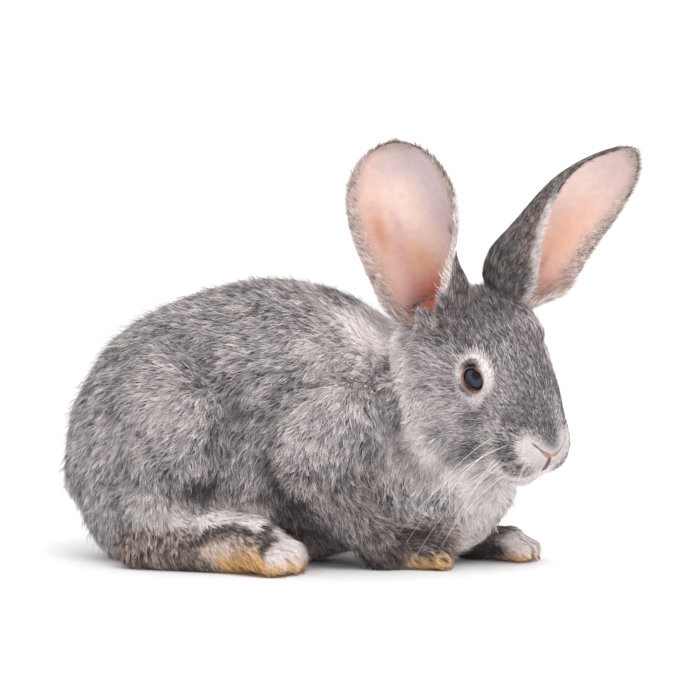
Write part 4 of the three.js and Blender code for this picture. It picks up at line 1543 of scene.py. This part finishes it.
def new_group(name, inputs, outputs):
    """A shader node group with named sockets: (name, kind, value) inputs, (name, kind) outputs."""
    group = bpy.data.node_groups.new(name, "ShaderNodeTree")
    for label, kind, value in inputs:
        socket = group.interface.new_socket(label, in_out="INPUT", socket_type=kind)
        socket.default_value = value
    for label, kind in outputs:
        group.interface.new_socket(label, in_out="OUTPUT", socket_type=kind)
    return group, group.nodes.new("NodeGroupInput"), group.nodes.new("NodeGroupOutput")


def add_node(tree, kind, group=None, **values):
    """A new node and the values of its inputs; _ stands for a space in an input's name."""
    node = tree.nodes.new("ShaderNode" + kind)
    if group:
        node.node_tree = group
    for label, value in values.items():
        node.inputs[label.replace("_", " ")].default_value = value
    return node


def wire(tree, *wires):
    """Links (node, output, node, input)."""
    for start, output, end, given in wires:
        tree.links.new(start.outputs[output], end.inputs[given])


def make_mottling():
    """Small patches of a surface a little paler or darker than the rest."""
    group, given, out = new_group(
        "mottling",
        [("Colour", "NodeSocketColor", (0.5, 0.5, 0.5, 1)), ("Scale", "NodeSocketFloat", 400),
         ("Amount", "NodeSocketFloat", 0.2)],
        [("Colour", "NodeSocketColor")])
    where, noise = add_node(group, "TexCoord"), add_node(group, "TexNoise", Detail=3)
    spread = add_node(group, "MapRange", From_Min=0.3, From_Max=0.7, To_Min=-1, To_Max=1)
    strength, scaled = add_node(group, "Math"), add_node(group, "VectorMath")
    strength.operation, scaled.operation = "MULTIPLY_ADD", "SCALE"
    strength.inputs[2].default_value = 1
    wire(group, (where, "Object", noise, "Vector"), (given, "Scale", noise, "Scale"),
         (noise, "Fac", spread, "Value"), (spread, "Result", strength, 0),
         (given, "Amount", strength, 1), (given, "Colour", scaled, 0),
         (strength, "Value", scaled, "Scale"), (scaled, "Vector", out, "Colour"))
    return group


def make_relief():
    """Fine relief: the height of small noise."""
    group, given, out = new_group(
        "fine relief", [("Scale", "NodeSocketFloat", 900)], [("Height", "NodeSocketFloat")])
    where, noise = add_node(group, "TexCoord"), add_node(group, "TexNoise", Detail=4)
    wire(group, (where, "Object", noise, "Vector"), (given, "Scale", noise, "Scale"),
         (noise, "Fac", out, "Height"))
    return group


MOTTLING, FINE_RELIEF = make_mottling(), make_relief()


def finish_of(name, colour=None, scale=400, amount=0.2, relief=None, **values):
    """A material of the mesh's own tones, or of one colour, mottled."""
    material = bpy.data.materials.new(name)
    material.use_nodes = True
    tree = material.node_tree
    shader = tree.nodes["Principled BSDF"]
    mottled = add_node(tree, "Group", MOTTLING, Scale=scale, Amount=amount)
    if colour is None:
        tone = add_node(tree, "VertexColor")
        tone.layer_name = "tone"
        wire(tree, (tone, "Color", mottled, "Colour"))
    else:
        mottled.inputs["Colour"].default_value = (*colour, 1)
    wire(tree, (mottled, "Colour", shader, "Base Color"))
    if relief:
        fineness, strength, distance = relief
        fine = add_node(tree, "Group", FINE_RELIEF, Scale=fineness)
        bump = add_node(tree, "Bump", Strength=strength, Distance=distance)
        wire(tree, (fine, "Height", bump, "Height"), (bump, "Normal", shader, "Normal"))
    for socket, value in values.items():
        shader.inputs[socket.replace("_", " ")].default_value = value
    return material


fur_finish = finish_of("grey rabbit fur", scale=900, amount=0.12, Roughness=0.7,
                       Specular_IOR_Level=0.3)
skin_finish = finish_of("skin and undercoat", scale=220, amount=0.05,
                        relief=(1100, 0.3, 0.0005), Roughness=0.6, Specular_IOR_Level=0.3)
lid_finish = finish_of("lid rims", scale=900, amount=0.25, relief=(1500, 0.3, 0.0003),
                       Roughness=0.35)
eye_finish = finish_of("wet brown eye", scale=700, amount=0.3, Roughness=0.3,
                       Specular_IOR_Level=0, Coat_Weight=0.8, Coat_Roughness=0.02, Coat_IOR=1.36)
whisker_finish = finish_of("white whiskers", (0.85, 0.84, 0.82), scale=200, amount=0.08,
                           Roughness=0.4)
bristle_finish = finish_of("dark bristles", (0.035, 0.03, 0.03), scale=200, amount=0.08,
                           Roughness=0.4)
claw_finish = finish_of("horn claws", (0.2, 0.14, 0.11), scale=500, amount=0.35,
                        relief=(1200, 0.3, 0.0002), Roughness=0.35)


def dress(piece, material):
    piece.data.materials.clear()
    piece.data.materials.append(material)
    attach(piece, "root")


dress(skin, skin_finish)
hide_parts(*FLESH_NODES, "ear_right", "ear_left")
for piece, region in coat_pieces:
    dress(piece, fur_finish)
for side in SIDES:
    dress(eye_rims[side], lid_finish)
    dress(eyeballs[side], eye_finish)
    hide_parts(f"eye_{side}")
dress(whiskers, whisker_finish)
dress(bristles, bristle_finish)
dress(claws, claw_finish)

# ---------------------------------------------------------------- floor, light and camera

FLOOR_HALF = 6  # metres
SKY_STRENGTH = 1.12
floor_mesh = bpy.data.meshes.new("floor")
corners = [(x * FLOOR_HALF, y * FLOOR_HALF, 0) for x, y in ((-1, -1), (1, -1), (1, 1), (-1, 1))]
floor_mesh.from_pydata(corners, [], [(0, 1, 2, 3)])
floor = add_object("floor", floor_mesh)
pale = bpy.data.materials.new("pale floor")
pale.use_nodes = True
pale_shader = pale.node_tree.nodes["Principled BSDF"]
pale_shader.inputs["Base Color"].default_value = (0.9, 0.9, 0.91, 1)
pale_shader.inputs["Roughness"].default_value = 0.7
floor_mesh.materials.append(pale)

world = bpy.data.worlds.new("studio")
bpy.context.scene.world = world
world.use_nodes = True
sky = world.node_tree.nodes["Background"]
sky.inputs["Color"].default_value = (1, 1, 1, 1)
sky.inputs["Strength"].default_value = SKY_STRENGTH


def aimed(name, data, where, way):
    """A lamp or camera looking along the way."""
    piece = add_object(name, data)
    piece.location = where
    piece.rotation_mode = "QUATERNION"
    piece.rotation_quaternion = Vector(way).to_track_quat("-Z", "Y")
    return piece


def softbox(name, where, aim_at, size, power):
    light = bpy.data.lights.new(name, "AREA")
    light.shape = "SQUARE"
    light.size = size
    light.energy = power
    aimed(name, light, where, Vector(aim_at) - Vector(where))


softbox("key", (0.5, -1.1, 1.5), (0.02, 0, 0.1), 1.0, 16)
softbox("fill", (1.0, -0.9, 0.25), (0.11, -0.03, 0.07), 0.4, 1.4)

CAMERA_AZIMUTH, CAMERA_ELEVATION, CAMERA_DISTANCE = 10, 2.5, 1600
CAMERA_TARGET = BODY.point([21, 0, 127])
PICTURE_WIDTH, FOCAL_LENGTH = 700, 2667  # in pixels
SENSOR_WIDTH = 36
azimuth, elevation = math.radians(CAMERA_AZIMUTH), math.radians(CAMERA_ELEVATION)
back = np.array([math.sin(azimuth) * math.cos(elevation),
                 -math.cos(azimuth) * math.cos(elevation), math.sin(elevation)])
camera = bpy.data.cameras.new("camera")
camera.sensor_width = SENSOR_WIDTH
camera.lens = SENSOR_WIDTH * FOCAL_LENGTH / PICTURE_WIDTH
camera.clip_end = 50
bpy.context.scene.camera = aimed("camera", camera, (CAMERA_TARGET + back * CAMERA_DISTANCE) * MM,
                                 -back)
bpy.context.scene.view_settings.view_transform = "Standard"

# ---------------------------------------------------------------- the scene brought up to date

bpy.context.view_layer.update()
